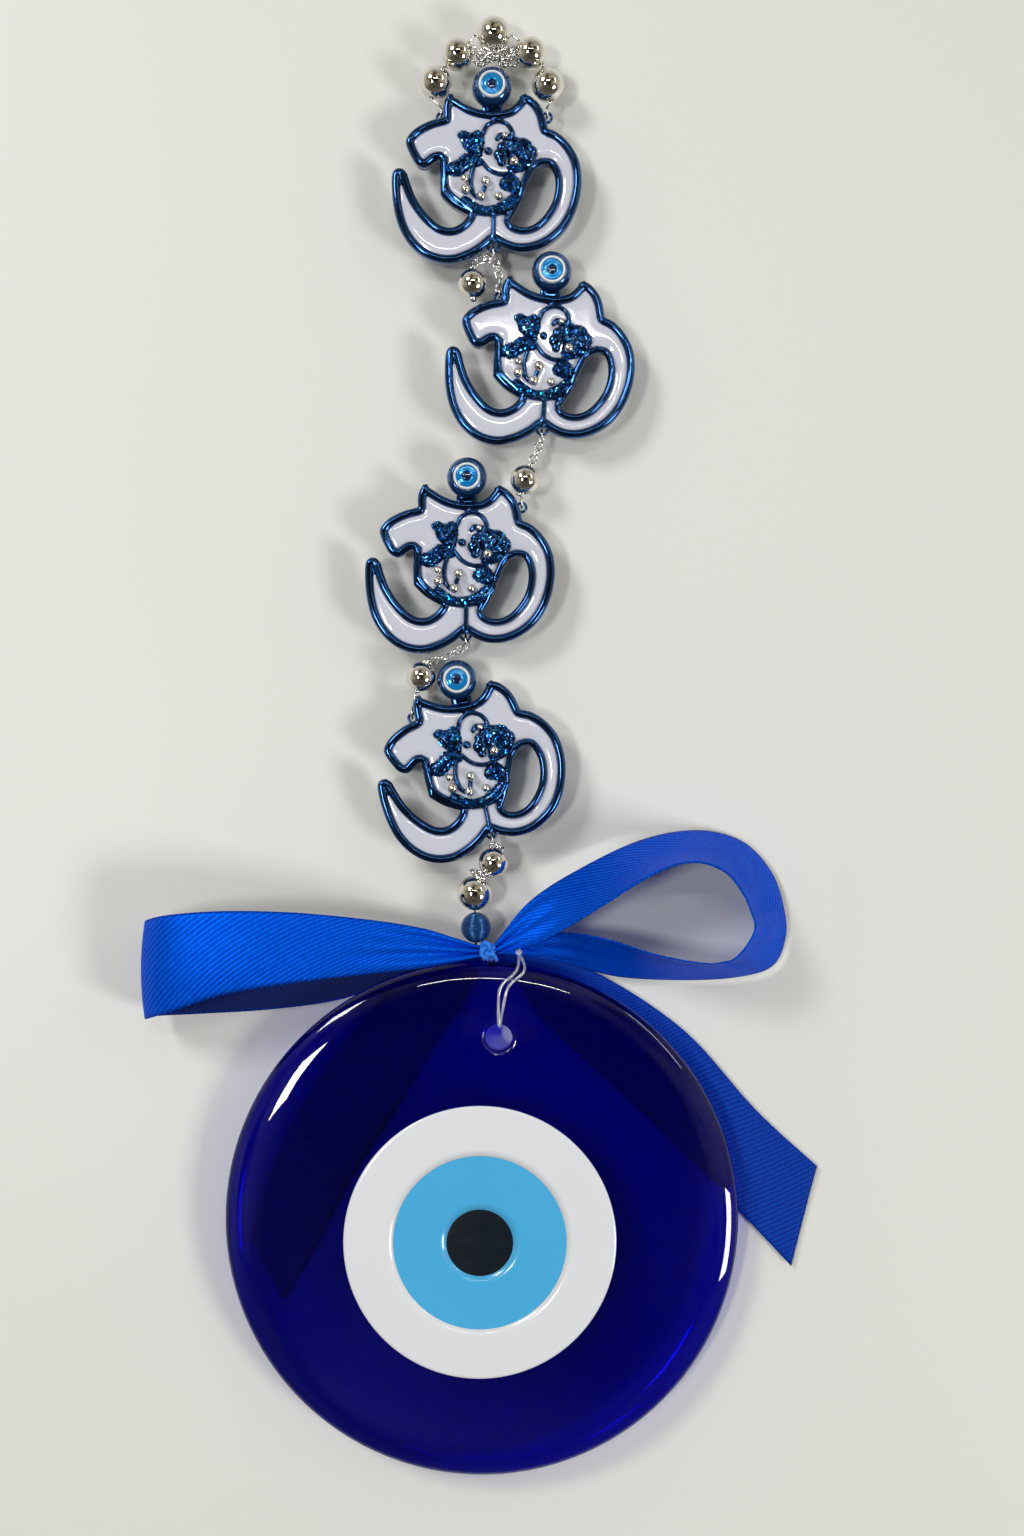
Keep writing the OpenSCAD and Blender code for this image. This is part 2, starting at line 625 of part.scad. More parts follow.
loop_string();
loop_seed_beads();
for (i = [1:5]) loop_ball(i);
for (n = [1:4]) {
    charm_frame(n);
    charm_enamel(n);
    charm_glitter(n);
    charm_studs(n);
    charm_eye_bead(n);
    charm_eye_white(n);
    charm_eye_iris(n);
    charm_eye_pupil(n);
}
for (n = [1:3]) {
    link_strand(n);
    link_ball(n);
}
drop_string();
drop_seed_beads();
drop_ball(1);  // drop_ball_1
drop_ball(2);  // drop_ball_2
drop_blue_bead();
cord_knot();
bow_left_loop();
bow_right_loop();
bow_left_tail();
bow_right_tail();
disc_thread();
disc_glass();
disc_white();
disc_iris();
disc_pupil();
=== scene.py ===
# %% [markdown]
# This lesson dresses a hanging evil eye ornament: a loop of silver balls, four enamelled charms
# on short chains, a satin bow and a big round eye of blue glass. The CAD model gives the fixed
# frame. Every visible piece is made again here with finer shapes, on the same dimensions.

# %% Load the frame
import json
import math

import bmesh
import bpy
import numpy as np
from mathutils import Matrix, Vector


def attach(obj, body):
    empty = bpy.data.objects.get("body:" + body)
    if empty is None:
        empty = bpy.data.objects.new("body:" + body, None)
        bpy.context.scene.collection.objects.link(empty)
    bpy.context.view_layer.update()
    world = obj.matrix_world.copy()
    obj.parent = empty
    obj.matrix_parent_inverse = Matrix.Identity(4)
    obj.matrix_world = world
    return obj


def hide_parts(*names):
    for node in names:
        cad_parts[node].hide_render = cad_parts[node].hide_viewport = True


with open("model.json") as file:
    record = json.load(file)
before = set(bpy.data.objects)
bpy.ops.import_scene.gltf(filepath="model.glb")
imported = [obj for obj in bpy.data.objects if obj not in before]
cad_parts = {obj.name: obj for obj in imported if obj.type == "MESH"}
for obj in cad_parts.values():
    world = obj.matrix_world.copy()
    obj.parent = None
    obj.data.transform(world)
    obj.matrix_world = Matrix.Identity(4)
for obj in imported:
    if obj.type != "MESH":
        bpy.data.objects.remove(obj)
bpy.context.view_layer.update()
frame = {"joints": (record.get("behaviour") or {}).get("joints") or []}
hinges = {h["child"]: h for h in frame["joints"]}

# %% [markdown]
# The camera looks straight at the ornament from 380 mm away, close enough that the bow, which
# stands nearer to it, looks a little larger than it would from far off.

# %% Camera
CAMERA_AWAY = 0.380
VIEW_HEIGHT = 0.3625
camera_data = bpy.data.cameras.new("camera")
camera_data.sensor_width = 36
camera_data.lens = 36 * CAMERA_AWAY / VIEW_HEIGHT
camera_data.clip_start = 0.01
camera = bpy.data.objects.new("camera", camera_data)
camera.location = (0.0045, -CAMERA_AWAY, -0.1690)
camera.rotation_euler = (math.pi / 2, 0, 0)
bpy.context.scene.collection.objects.link(camera)
bpy.context.scene.camera = camera
bpy.context.scene.view_settings.view_transform = "Standard"
print("lens", round(camera_data.lens, 1), "mm")

# %% [markdown]
# Materials are node trees. A small helper adds a node and sets its plain sockets, so that each
# finish below reads like a recipe. Patterns read Object coordinates, which are metres here.

# %% Node helpers
def add_node(tree, kind, sockets=None, **settings):
    node = tree.nodes.new(kind)
    for key, value in settings.items():
        setattr(node, key, value)
    for key, value in (sockets or {}).items():
        node.inputs[key].default_value = value
    return node


def new_group(name, inputs, outputs):
    group = bpy.data.node_groups.new(name, "ShaderNodeTree")
    for label, kind, value in inputs:
        socket = group.interface.new_socket(label, in_out="INPUT", socket_type=kind)
        if value is not None:
            socket.default_value = value
    for label, kind in outputs:
        group.interface.new_socket(label, in_out="OUTPUT", socket_type=kind)
    return group, group.nodes.new("NodeGroupInput"), group.nodes.new("NodeGroupOutput")


def new_material(name, sockets):
    material = bpy.data.materials.new(name)
    material.use_nodes = True
    shader = material.node_tree.nodes["Principled BSDF"]
    for key, value in sockets.items():
        shader.inputs[key].default_value = value
    return material, material.node_tree, shader


# %% [markdown]
# Nothing polished is perfectly even. One group gives every hard finish its slow drift of
# colour, its uneven gloss and its faint waviness, each finish with its own scale and amounts.

# %% Group: uneven surface
FLOAT, COLOR, VECTOR = "NodeSocketFloat", "NodeSocketColor", "NodeSocketVector"
uneven, uneven_in, uneven_out = new_group(
    "uneven surface",
    [("Vector", VECTOR, None), ("Colour", COLOR, (0.5, 0.5, 0.5, 1)), ("Other Colour", COLOR, (0.4, 0.4, 0.4, 1)),
     ("Scale", FLOAT, 60.0), ("Fine Scale", FLOAT, 900.0), ("Gloss Low", FLOAT, 0.1), ("Gloss High", FLOAT, 0.2)],
    [("Colour", COLOR), ("Roughness", FLOAT), ("Height", FLOAT)])
drift = add_node(uneven, "ShaderNodeTexNoise", {"Detail": 3.0})
grain = add_node(uneven, "ShaderNodeTexNoise", {"Detail": 2.0})
tint = add_node(uneven, "ShaderNodeMix", data_type="RGBA")
gloss = add_node(uneven, "ShaderNodeMapRange")
lumps = add_node(uneven, "ShaderNodeMath", {1: 0.35}, operation="MULTIPLY_ADD")
uneven.links.new(uneven_in.outputs["Vector"], drift.inputs["Vector"])
uneven.links.new(uneven_in.outputs["Vector"], grain.inputs["Vector"])
uneven.links.new(uneven_in.outputs["Scale"], drift.inputs["Scale"])
uneven.links.new(uneven_in.outputs["Fine Scale"], grain.inputs["Scale"])
uneven.links.new(drift.outputs[0], tint.inputs[0])
uneven.links.new(uneven_in.outputs["Colour"], tint.inputs[6])
uneven.links.new(uneven_in.outputs["Other Colour"], tint.inputs[7])
uneven.links.new(grain.outputs[0], gloss.inputs[0])
uneven.links.new(uneven_in.outputs["Gloss Low"], gloss.inputs[3])
uneven.links.new(uneven_in.outputs["Gloss High"], gloss.inputs[4])
uneven.links.new(grain.outputs[0], lumps.inputs[0])
uneven.links.new(drift.outputs[0], lumps.inputs[2])
uneven.links.new(tint.outputs[2], uneven_out.inputs["Colour"])
uneven.links.new(gloss.outputs[0], uneven_out.inputs["Roughness"])
uneven.links.new(lumps.outputs[0], uneven_out.inputs["Height"])


def hard_finish(name, colour, other, scale, fine, gloss_low, gloss_high, bump, sockets):
    """A finish from the uneven group: two colours, two scales, a gloss range and a bump depth."""
    material, tree, shader = new_material(name, sockets)
    place = add_node(tree, "ShaderNodeTexCoord")
    group = add_node(tree, "ShaderNodeGroup", node_tree=uneven)
    for key, value in (("Colour", colour + (1,)), ("Other Colour", other + (1,)), ("Scale", scale),
                       ("Fine Scale", fine), ("Gloss Low", gloss_low), ("Gloss High", gloss_high)):
        group.inputs[key].default_value = value
    relief_node = add_node(tree, "ShaderNodeBump", {"Strength": 0.6, "Distance": bump})
    tree.links.new(place.outputs["Object"], group.inputs["Vector"])
    tree.links.new(group.outputs["Colour"], shader.inputs["Base Color"])
    tree.links.new(group.outputs["Roughness"], shader.inputs["Roughness"])
    tree.links.new(group.outputs["Height"], relief_node.inputs["Height"])
    tree.links.new(relief_node.outputs[0], shader.inputs["Normal"])
    return material


# %% Hard finishes
silver = hard_finish("silver plating", (0.86, 0.83, 0.77), (0.78, 0.74, 0.66), 90, 1500, 0.03, 0.10, 0.00002,
                     {"Metallic": 1.0})
chain_silver = hard_finish("chain silver", (0.90, 0.90, 0.88), (0.70, 0.70, 0.70), 300, 2500, 0.06, 0.16, 0.00004,
                           {"Metallic": 1.0})
casting_blue = hard_finish("blue plated casting", (0.001, 0.030, 0.12), (0.003, 0.085, 0.28), 110, 900, 0.06, 0.15,
                           0.00005, {"Metallic": 1.0, "Coat Weight": 0.6, "Coat Roughness": 0.06})
enamel_white = hard_finish("white enamel", (0.60, 0.62, 0.72), (0.57, 0.60, 0.71), 60, 500, 0.05, 0.12, 0.00002,
                           {"Coat Weight": 1.0, "Coat Roughness": 0.03, "Subsurface Weight": 0.15,
                            "Subsurface Radius": (0.001, 0.001, 0.001), "Subsurface Scale": 1.0})
bead_blue = hard_finish("eye bead blue", (0.006, 0.045, 0.17), (0.008, 0.09, 0.28), 150, 900, 0.06, 0.14, 0.00003,
                        {"Metallic": 0.75, "Coat Weight": 1.0, "Coat Roughness": 0.03})
bead_white = hard_finish("eye bead white", (0.80, 0.82, 0.80), (0.70, 0.73, 0.74), 200, 900, 0.08, 0.16, 0.00002,
                         {"Coat Weight": 0.8})
bead_sky = hard_finish("eye bead light blue", (0.006, 0.34, 0.80), (0.004, 0.20, 0.62), 200, 900, 0.06, 0.12, 0.00002,
                       {"Metallic": 0.4, "Coat Weight": 1.0})
bead_dark = hard_finish("eye bead pupil", (0.002, 0.012, 0.05), (0.004, 0.02, 0.08), 200, 900, 0.05, 0.1, 0.00002,
                        {"Coat Weight": 1.0})
opal_white = hard_finish("opal white glass", (0.73, 0.76, 0.80), (0.70, 0.73, 0.78), 25, 260, 0.16, 0.24, 0.00006,
                         {"Coat Weight": 0.5, "Coat Roughness": 0.08})
sky_glass = hard_finish("light blue glass", (0.072, 0.43, 0.78), (0.064, 0.40, 0.74), 30, 260, 0.16, 0.24, 0.00006,
                        {"Coat Weight": 0.5, "Coat Roughness": 0.08})
black_glass = hard_finish("black glass", (0.0015, 0.005, 0.010), (0.003, 0.009, 0.017), 60, 400, 0.22, 0.34, 0.00006,
                          {"Coat Weight": 0.3, "Coat Roughness": 0.1})
print("hard finishes:", 11)

# %% [markdown]
# The disc is cobalt glass: clear, but so strongly coloured that 6 mm of it is nearly opaque.
# Light passes through it to the wall in the real one. A path tracer finds that light slowly, so
# for shadow rays only the glass is a tinted clear filter.

# %% Cobalt glass and clear nylon
def clear_finish(name, tint_colour, shade, sockets):
    material, tree, shader = new_material(name, {"IOR": 1.5, "Transmission Weight": 1.0, **sockets})
    shader.inputs["Base Color"].default_value = tint_colour + (1,)
    path = add_node(tree, "ShaderNodeLightPath")
    through = add_node(tree, "ShaderNodeBsdfTransparent", {"Color": shade + (1,)})
    mix = add_node(tree, "ShaderNodeMixShader")
    tree.links.new(path.outputs["Is Shadow Ray"], mix.inputs[0])
    tree.links.new(shader.outputs[0], mix.inputs[1])
    tree.links.new(through.outputs[0], mix.inputs[2])
    tree.links.new(mix.outputs[0], tree.nodes["Material Output"].inputs["Surface"])
    return material


cobalt_glass = clear_finish("cobalt glass", (0.0003, 0.0002, 0.36), (0.05, 0.05, 0.36), {"Roughness": 0.02})
nylon_clear = clear_finish("clear nylon", (0.93, 0.94, 0.97), (0.92, 0.92, 0.94), {"Roughness": 0.08, "Transmission Weight": 0.86})

# %% [markdown]
# Glitter is thousands of tiny mirror flakes set in lacquer. The flakes are real geometry, made
# further down; their colour differs from flake to flake by a cell pattern.

# %% Glitter finishes
def glitter_finish(name, colours, cell, sockets):
    material, tree, shader = new_material(name, sockets)
    place = add_node(tree, "ShaderNodeTexCoord")
    cells = add_node(tree, "ShaderNodeTexVoronoi", {"Scale": cell})
    ramp = add_node(tree, "ShaderNodeValToRGB")
    ramp.color_ramp.interpolation = "CONSTANT"
    while len(ramp.color_ramp.elements) < len(colours):
        ramp.color_ramp.elements.new(0.5)
    for i, (stop, colour) in enumerate(zip(ramp.color_ramp.elements, colours)):
        stop.position = i / len(colours)
        stop.color = colour + (1,)
    split = add_node(tree, "ShaderNodeSeparateColor")
    bump_node = add_node(tree, "ShaderNodeBump", {"Strength": 1.0, "Distance": 0.00012})
    tree.links.new(place.outputs["Object"], cells.inputs["Vector"])
    tree.links.new(cells.outputs["Color"], split.inputs[0])
    tree.links.new(split.outputs[0], ramp.inputs[0])
    tree.links.new(ramp.outputs[0], shader.inputs["Base Color"])
    tree.links.new(split.outputs[1], bump_node.inputs["Height"])
    tree.links.new(bump_node.outputs[0], shader.inputs["Normal"])
    return material


flake_colours = [(0.002, 0.035, 0.17), (0.003, 0.10, 0.36), (0.006, 0.28, 0.70), (0.001, 0.015, 0.08),
                 (0.25, 0.72, 0.98)]
glitter_lacquer = glitter_finish("glitter lacquer", flake_colours[:2] + flake_colours[3:4], 1600,
                                 {"Metallic": 0.9, "Roughness": 0.22, "Coat Weight": 0.5})
glitter_flakes = glitter_finish("glitter flakes", flake_colours, 1500, {"Metallic": 1.0, "Roughness": 0.10})

# %% [markdown]
# Satin ribbon is woven with long floats, so it shines along one direction and shows fine
# diagonal twill lines. The pattern reads the ribbon's own UV map, in millimetres: across, along.

# %% Group: ribbon weave
weave, weave_in, weave_out = new_group(
    "ribbon weave",
    [("UV", VECTOR, None), ("Colour", COLOR, (0, 0.07, 0.6, 1)), ("Sheen Colour", COLOR, (0.05, 0.25, 0.9, 1)),
     ("Twill Angle", FLOAT, 0.6), ("Twill", FLOAT, 1.1), ("Contrast", FLOAT, 0.3), ("Width", FLOAT, 25.0)],
    [("Colour", COLOR), ("Height", FLOAT)])
turn_uv = add_node(weave, "ShaderNodeVectorRotate", rotation_type="Z_AXIS")
lines_uv = add_node(weave, "ShaderNodeSeparateXYZ")
twill_period = add_node(weave, "ShaderNodeMath", operation="DIVIDE")
twill_angle = add_node(weave, "ShaderNodeMath", {1: 2 * math.pi}, operation="MULTIPLY")
twill_wave = add_node(weave, "ShaderNodeMath", operation="SINE")
thread_noise = add_node(weave, "ShaderNodeTexNoise", {"Scale": 1.0, "Detail": 3.0})
stretch = add_node(weave, "ShaderNodeVectorMath", operation="MULTIPLY")
stretch.inputs[1].default_value = (0.28, 2.6, 1)
wave_mix = add_node(weave, "ShaderNodeMath", operation="MULTIPLY")
wave_sum = add_node(weave, "ShaderNodeMath", operation="ADD")
weave_colour = add_node(weave, "ShaderNodeMix", data_type="RGBA")
across = add_node(weave, "ShaderNodeSeparateXYZ")
edge_a = add_node(weave, "ShaderNodeMath", operation="SUBTRACT")
edge_b = add_node(weave, "ShaderNodeMath", operation="MINIMUM")
edge_mask = add_node(weave, "ShaderNodeMapRange", {1: 0.9, 2: 0.5, 3: 0.0, 4: 1.0})
stitch_phase = add_node(weave, "ShaderNodeMath", {1: 5.2}, operation="MULTIPLY")
stitch_wave = add_node(weave, "ShaderNodeMath", operation="SINE")
stitch = add_node(weave, "ShaderNodeMath", operation="MULTIPLY")
edge_dark = add_node(weave, "ShaderNodeMix", data_type="RGBA")
edge_dark.inputs[7].default_value = (0.0, 0.03, 0.30, 1)
edge_share = add_node(weave, "ShaderNodeMapRange", {1: -1.0, 2: 1.0, 3: 0.0, 4: 0.8})
height_sum = add_node(weave, "ShaderNodeMath", operation="ADD")
L = weave.links.new
L(weave_in.outputs["UV"], turn_uv.inputs["Vector"])
L(weave_in.outputs["Twill Angle"], turn_uv.inputs["Angle"])
L(turn_uv.outputs[0], lines_uv.inputs[0])
L(lines_uv.outputs["X"], twill_period.inputs[0])
L(weave_in.outputs["Twill"], twill_period.inputs[1])
L(twill_period.outputs[0], twill_angle.inputs[0])
L(twill_angle.outputs[0], twill_wave.inputs[0])
L(weave_in.outputs["UV"], stretch.inputs[0])
L(stretch.outputs[0], thread_noise.inputs["Vector"])
L(twill_wave.outputs[0], wave_mix.inputs[0])
L(weave_in.outputs["Contrast"], wave_mix.inputs[1])
L(wave_mix.outputs[0], wave_sum.inputs[0])
L(thread_noise.outputs[0], wave_sum.inputs[1])
L(wave_sum.outputs[0], weave_colour.inputs[0])
L(weave_in.outputs["Colour"], weave_colour.inputs[6])
L(weave_in.outputs["Sheen Colour"], weave_colour.inputs[7])
L(weave_in.outputs["UV"], across.inputs[0])
L(weave_in.outputs["Width"], edge_a.inputs[0])
L(across.outputs["X"], edge_a.inputs[1])
L(edge_a.outputs[0], edge_b.inputs[0])
L(across.outputs["X"], edge_b.inputs[1])
L(edge_b.outputs[0], edge_mask.inputs[0])
L(across.outputs["Y"], stitch_phase.inputs[0])
L(stitch_phase.outputs[0], stitch_wave.inputs[0])
L(stitch_wave.outputs[0], edge_share.inputs[0])
L(edge_mask.outputs[0], stitch.inputs[0])
L(edge_share.outputs[0], stitch.inputs[1])
L(stitch.outputs[0], edge_dark.inputs[0])
L(weave_colour.outputs[2], edge_dark.inputs[6])
L(edge_dark.outputs[2], weave_out.inputs["Colour"])
L(wave_sum.outputs[0], height_sum.inputs[0])
L(edge_mask.outputs[0], height_sum.inputs[1])
L(height_sum.outputs[0], weave_out.inputs["Height"])


def satin_finish(name, colour, sheen_colour, angle, twill, contrast, bump, sockets):
    material, tree, shader = new_material(name, sockets)
    uv = add_node(tree, "ShaderNodeUVMap", uv_map="ribbon")
    group = add_node(tree, "ShaderNodeGroup", node_tree=weave)
    for key, value in (("Colour", colour + (1,)), ("Sheen Colour", sheen_colour + (1,)), ("Twill Angle", angle),
                       ("Twill", twill), ("Contrast", contrast), ("Width", 25.0)):
        group.inputs[key].default_value = value
    relief_node = add_node(tree, "ShaderNodeBump", {"Strength": 0.5, "Distance": bump})
    tree.links.new(uv.outputs[0], group.inputs["UV"])
    tree.links.new(group.outputs["Colour"], shader.inputs["Base Color"])
    tree.links.new(group.outputs["Height"], relief_node.inputs["Height"])
    tree.links.new(relief_node.outputs[0], shader.inputs["Normal"])
    return material


satin = satin_finish("royal blue satin", (0.0, 0.030, 0.40), (0.001, 0.125, 0.86), 0.65, 1.3, 0.36, 0.00013,
                     {"Roughness": 0.40, "Metallic": 0.35, "Sheen Weight": 0.05, "Sheen Roughness": 0.3,
                      "Sheen Tint": (0.1, 0.35, 1, 1), "Anisotropic": 0.5, "Specular IOR Level": 0.12,
                      "Specular Tint": (0.04, 0.30, 1.0, 1)})
satin_back = satin_finish("matte side of the ribbon", (0.0, 0.016, 0.22), (0.0, 0.05, 0.42), -0.9, 0.9, 0.35, 0.0001,
                          {"Roughness": 0.6, "Sheen Weight": 0.03, "Sheen Tint": (0.2, 0.4, 1, 1),
                           "Specular IOR Level": 0.1})
# The inside of the left loop is painted far darker than the ribbon's own colour: painted shade, where the loop's front
# band shades it.
satin_painted_shade = satin_finish("loop inside with painted shade", (0.0, 0.005, 0.075), (0.0, 0.016, 0.17), -0.9, 1.1, 0.35, 0.0001,
                            {"Roughness": 0.6, "Specular IOR Level": 0.15})
cord_blue = hard_finish("blue cord", (0.0, 0.12, 0.62), (0.0, 0.22, 0.85), 900, 4000, 0.45, 0.6, 0.0001,
                        {"Sheen Weight": 0.4, "Sheen Tint": (0.4, 0.6, 1, 1)})
wound_blue = hard_finish("metallic thread", (0.001, 0.030, 0.13), (0.004, 0.10, 0.34), 1500, 5000, 0.18, 0.36, 0.0001,
                         {"Metallic": 0.6, "Coat Weight": 0.4, "Coat Roughness": 0.1})
print("materials:", len(bpy.data.materials))

# %% [markdown]
# Meshes are built in millimetres as lists of corners and faces, then scaled to metres. These
# few shapes make nearly everything: a turned piece, a tube along a path, and a relief that
# rises inside an outline.

# %% Mesh helpers
def joined(parts):
    corners, faces = [], []
    for part_corners, part_faces in parts:
        start = len(corners)
        corners += [tuple(c) for c in part_corners]
        faces += [tuple(start + i for i in face) for face in part_faces]
    return corners, faces


def placed(part, matrix):
    return [matrix @ Vector(c) for c in part[0]], part[1]


def turned(profile, turns=64, closed=False):
    """A piece turned about Z from (radius, height) points. A radius of 0 makes a pole."""
    corners, rings = [], []
    for radius, height in profile:
        if radius < 1e-9:
            rings.append([len(corners)] * turns)
            corners.append((0.0, 0.0, height))
            continue
        rings.append(list(range(len(corners), len(corners) + turns)))
        corners += [(radius * math.cos(2 * math.pi * k / turns), radius * math.sin(2 * math.pi * k / turns), height)
                    for k in range(turns)]
    faces = []
    pairs = list(zip(rings, rings[1:] + rings[:1])) if closed else list(zip(rings, rings[1:]))
    for low, high in pairs:
        for k in range(turns):
            face = [low[k], low[(k + 1) % turns], high[(k + 1) % turns], high[k]]
            face = [c for i, c in enumerate(face) if c not in face[:i]]
            if len(face) > 2:
                faces.append(face)
    return corners, faces


def tube(path, radius, sides=12, closed=False, squash=1.0, plies=0, lay=0.0):
    """A tube along a path. With plies it is a twisted cord whose lay is one turn's length."""
    path = [Vector(p) for p in path]
    count = len(path)
    along = []
    for i in range(count):
        before = path[i - 1] if closed or i else path[i]
        after = path[(i + 1) % count] if closed or i < count - 1 else path[i]
        along.append((after - before).normalized())
    side = along[0].orthogonal().normalized()
    corners, travelled = [], 0.0
    for i in range(count):
        side = (side - along[i] * side.dot(along[i])).normalized()
        up = along[i].cross(side)
        travelled += (path[i] - path[i - 1]).length if i else 0.0
        for k in range(sides):
            angle = 2 * math.pi * k / sides
            r = radius
            if plies:
                r *= 0.82 + 0.18 * abs(math.cos(plies / 2 * (angle - 2 * math.pi * travelled / lay)))
            corners.append(path[i] + side * (r * math.cos(angle)) + up * (r * squash * math.sin(angle)))
    faces = []
    for i in range(count if closed else count - 1):
        j = (i + 1) % count
        for k in range(sides):
            m = (k + 1) % sides
            faces.append((i * sides + k, i * sides + m, j * sides + m, j * sides + k))
    if not closed:
        faces.append(tuple(range(sides - 1, -1, -1)))
        faces.append(tuple((count - 1) * sides + k for k in range(sides)))
    return corners, faces


def piece_object(name, part, material, outwards=True, scale=0.001):
    mesh = bpy.data.meshes.new(name)
    mesh.from_pydata([tuple(c) for c in part[0]], [], [tuple(f) for f in part[1]])
    mesh.transform(Matrix.Scale(scale, 4))
    if outwards:
        cleaned = bmesh.new()
        cleaned.from_mesh(mesh)
        bmesh.ops.recalc_face_normals(cleaned, faces=cleaned.faces)
        cleaned.to_mesh(mesh)
        cleaned.free()
    mesh.shade_smooth()
    mesh.materials.append(material)
    obj = bpy.data.objects.new(name, mesh)
    bpy.context.scene.collection.objects.link(obj)
    return obj


def evaluated(obj, name, material):
    """The object with its modifiers carried out, as a new plain mesh object; the old one goes."""
    bpy.context.view_layer.update()
    mesh = bpy.data.meshes.new_from_object(obj.evaluated_get(bpy.context.evaluated_depsgraph_get()))
    bpy.data.objects.remove(obj)
    mesh.name = name
    if not mesh.materials:
        mesh.materials.append(material)
    result = bpy.data.objects.new(name, mesh)
    bpy.context.scene.collection.objects.link(result)
    return result


def belongs(obj, body, slot_name, *nodes):
    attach(obj, body)
    if nodes:
        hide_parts(*nodes)
    return obj


def smooth_path(points, parts=6, closed=False):
    """Catmull-Rom curve through the points."""
    points = [Vector(p) for p in points]
    count = len(points)
    result = []
    for i in range(count if closed else count - 1):
        if closed:
            a, b, c, d = (points[(i + k) % count] for k in (-1, 0, 1, 2))
        else:
            a, b, c, d = points[max(i - 1, 0)], points[i], points[i + 1], points[min(i + 2, count - 1)]
        for k in range(parts):
            t = k / parts
            result.append(0.5 * (2 * b + (c - a) * t + (2 * a - 5 * b + 4 * c - d) * t * t
                                 + (3 * b - a - 3 * c + d) * t ** 3))
    return result if closed else result + [points[-1]]


TO_FRONT = Matrix.Rotation(math.pi / 2, 4, "X")   # what pointed up Z now points to the front, -Y

# %% [markdown]
# Each charm is one casting in the shape of the Om sign, with a seated elephant-headed figure in
# relief. The drawing is kept as short lists of points, in millimetres about the eye bead.

# %% The charm's drawing
def drawn(*runs):
    points = []
    for run in runs:
        points += [(p.x, p.y) for p in smooth_path([(x, y, 0) for x, y in run], 5)][:-1]
    return points


outline = (
    drawn([(-10, -2), (-7.5, -3.6), (-4.5, -5.2), (-1, -6), (2.5, -5.9), (5, -4.8), (7.4, -1.9)],
          [(7.4, -1.9), (9.3, -2.7), (11.2, -4.6), (12.3, -6.8), (13.1, -10.1)],
          [(13.1, -10.1), (15.6, -11.2), (18.3, -13.8), (20.3, -17.4), (21, -21.6), (20.6, -26), (19.2, -30.4),
           (16.8, -34.2), (13.4, -37), (9.6, -38.6), (5.8, -38.8), (2.6, -37.8), (0.3, -36.4)],
          [(0.3, -36.4), (-2, -38.4), (-5, -40.2), (-8.8, -41.5), (-12.6, -41.4), (-16.2, -40), (-19.4, -37.2),
           (-21.7, -33.4), (-23, -28.8), (-23.5, -24), (-23.4, -20.8), (-22.6, -19.6), (-21.2, -19.5),
           (-20.1, -20.6)],
          [(-20.1, -20.6), (-19.2, -23.4), (-17.8, -26.7), (-15.4, -30.1), (-12.4, -32.8), (-9.5, -33.4),
           (-7, -32.2), (-5.4, -30.3)],
          [(-5.4, -30.3), (-9.2, -28.2), (-12, -25.6)], [(-12, -25.6), (-12.2, -21.6), (-12.2, -17.4)],
          [(-12, -17.2), (-13.4, -17.5), (-15.6, -19), (-17.6, -18.4), (-19.2, -16), (-20.2, -13.2),
           (-19.4, -11.4), (-17.6, -9.8), (-14.6, -8.3), (-11.3, -7.4)],
          [(-11.3, -7.4), (-11.4, -5.4), (-11, -3.4), (-10, -2)]))
teardrop = drawn(
    [(11.8, -18.2), (13.9, -18.6), (15.1, -21.3), (15.2, -24.4), (14.3, -27.8), (12.3, -30.9), (9.8, -33),
     (7.1, -33.6), (4.8, -32.9), (4, -31.6)],
    [(4, -31.6), (5.9, -28.4), (7.1, -25.4), (8.2, -22.4), (9.6, -19.6), (11.8, -18.2)])
figure_lines = [
    [(-2.1, -11.4), (-1.2, -9.5), (1.2, -8.4), (3.6, -9.2), (4.8, -11.2), (4.6, -12.8)],
    [(-2.6, -17.6), (-0.7, -19.8), (1.9, -20.9), (4.8, -20.7)],
    [(-11.2, -18), (-10.6, -24), (-7.4, -27.4), (-3.6, -29.9), (0.4, -30.2), (3.9, -29.2), (6.5, -26.6), (7, -24.2)],
    [(0.3, -30), (0.35, -33), (0.3, -36.6)],
    [(-1.4, -23), (-2, -24.6), (-2.4, -26.4)],
    [(-4.4, -19.4), (-5, -22), (-4.6, -25), (-3.4, -26.4)],
    [(1.2, -12.6), (2, -11.6), (3.4, -12)]]
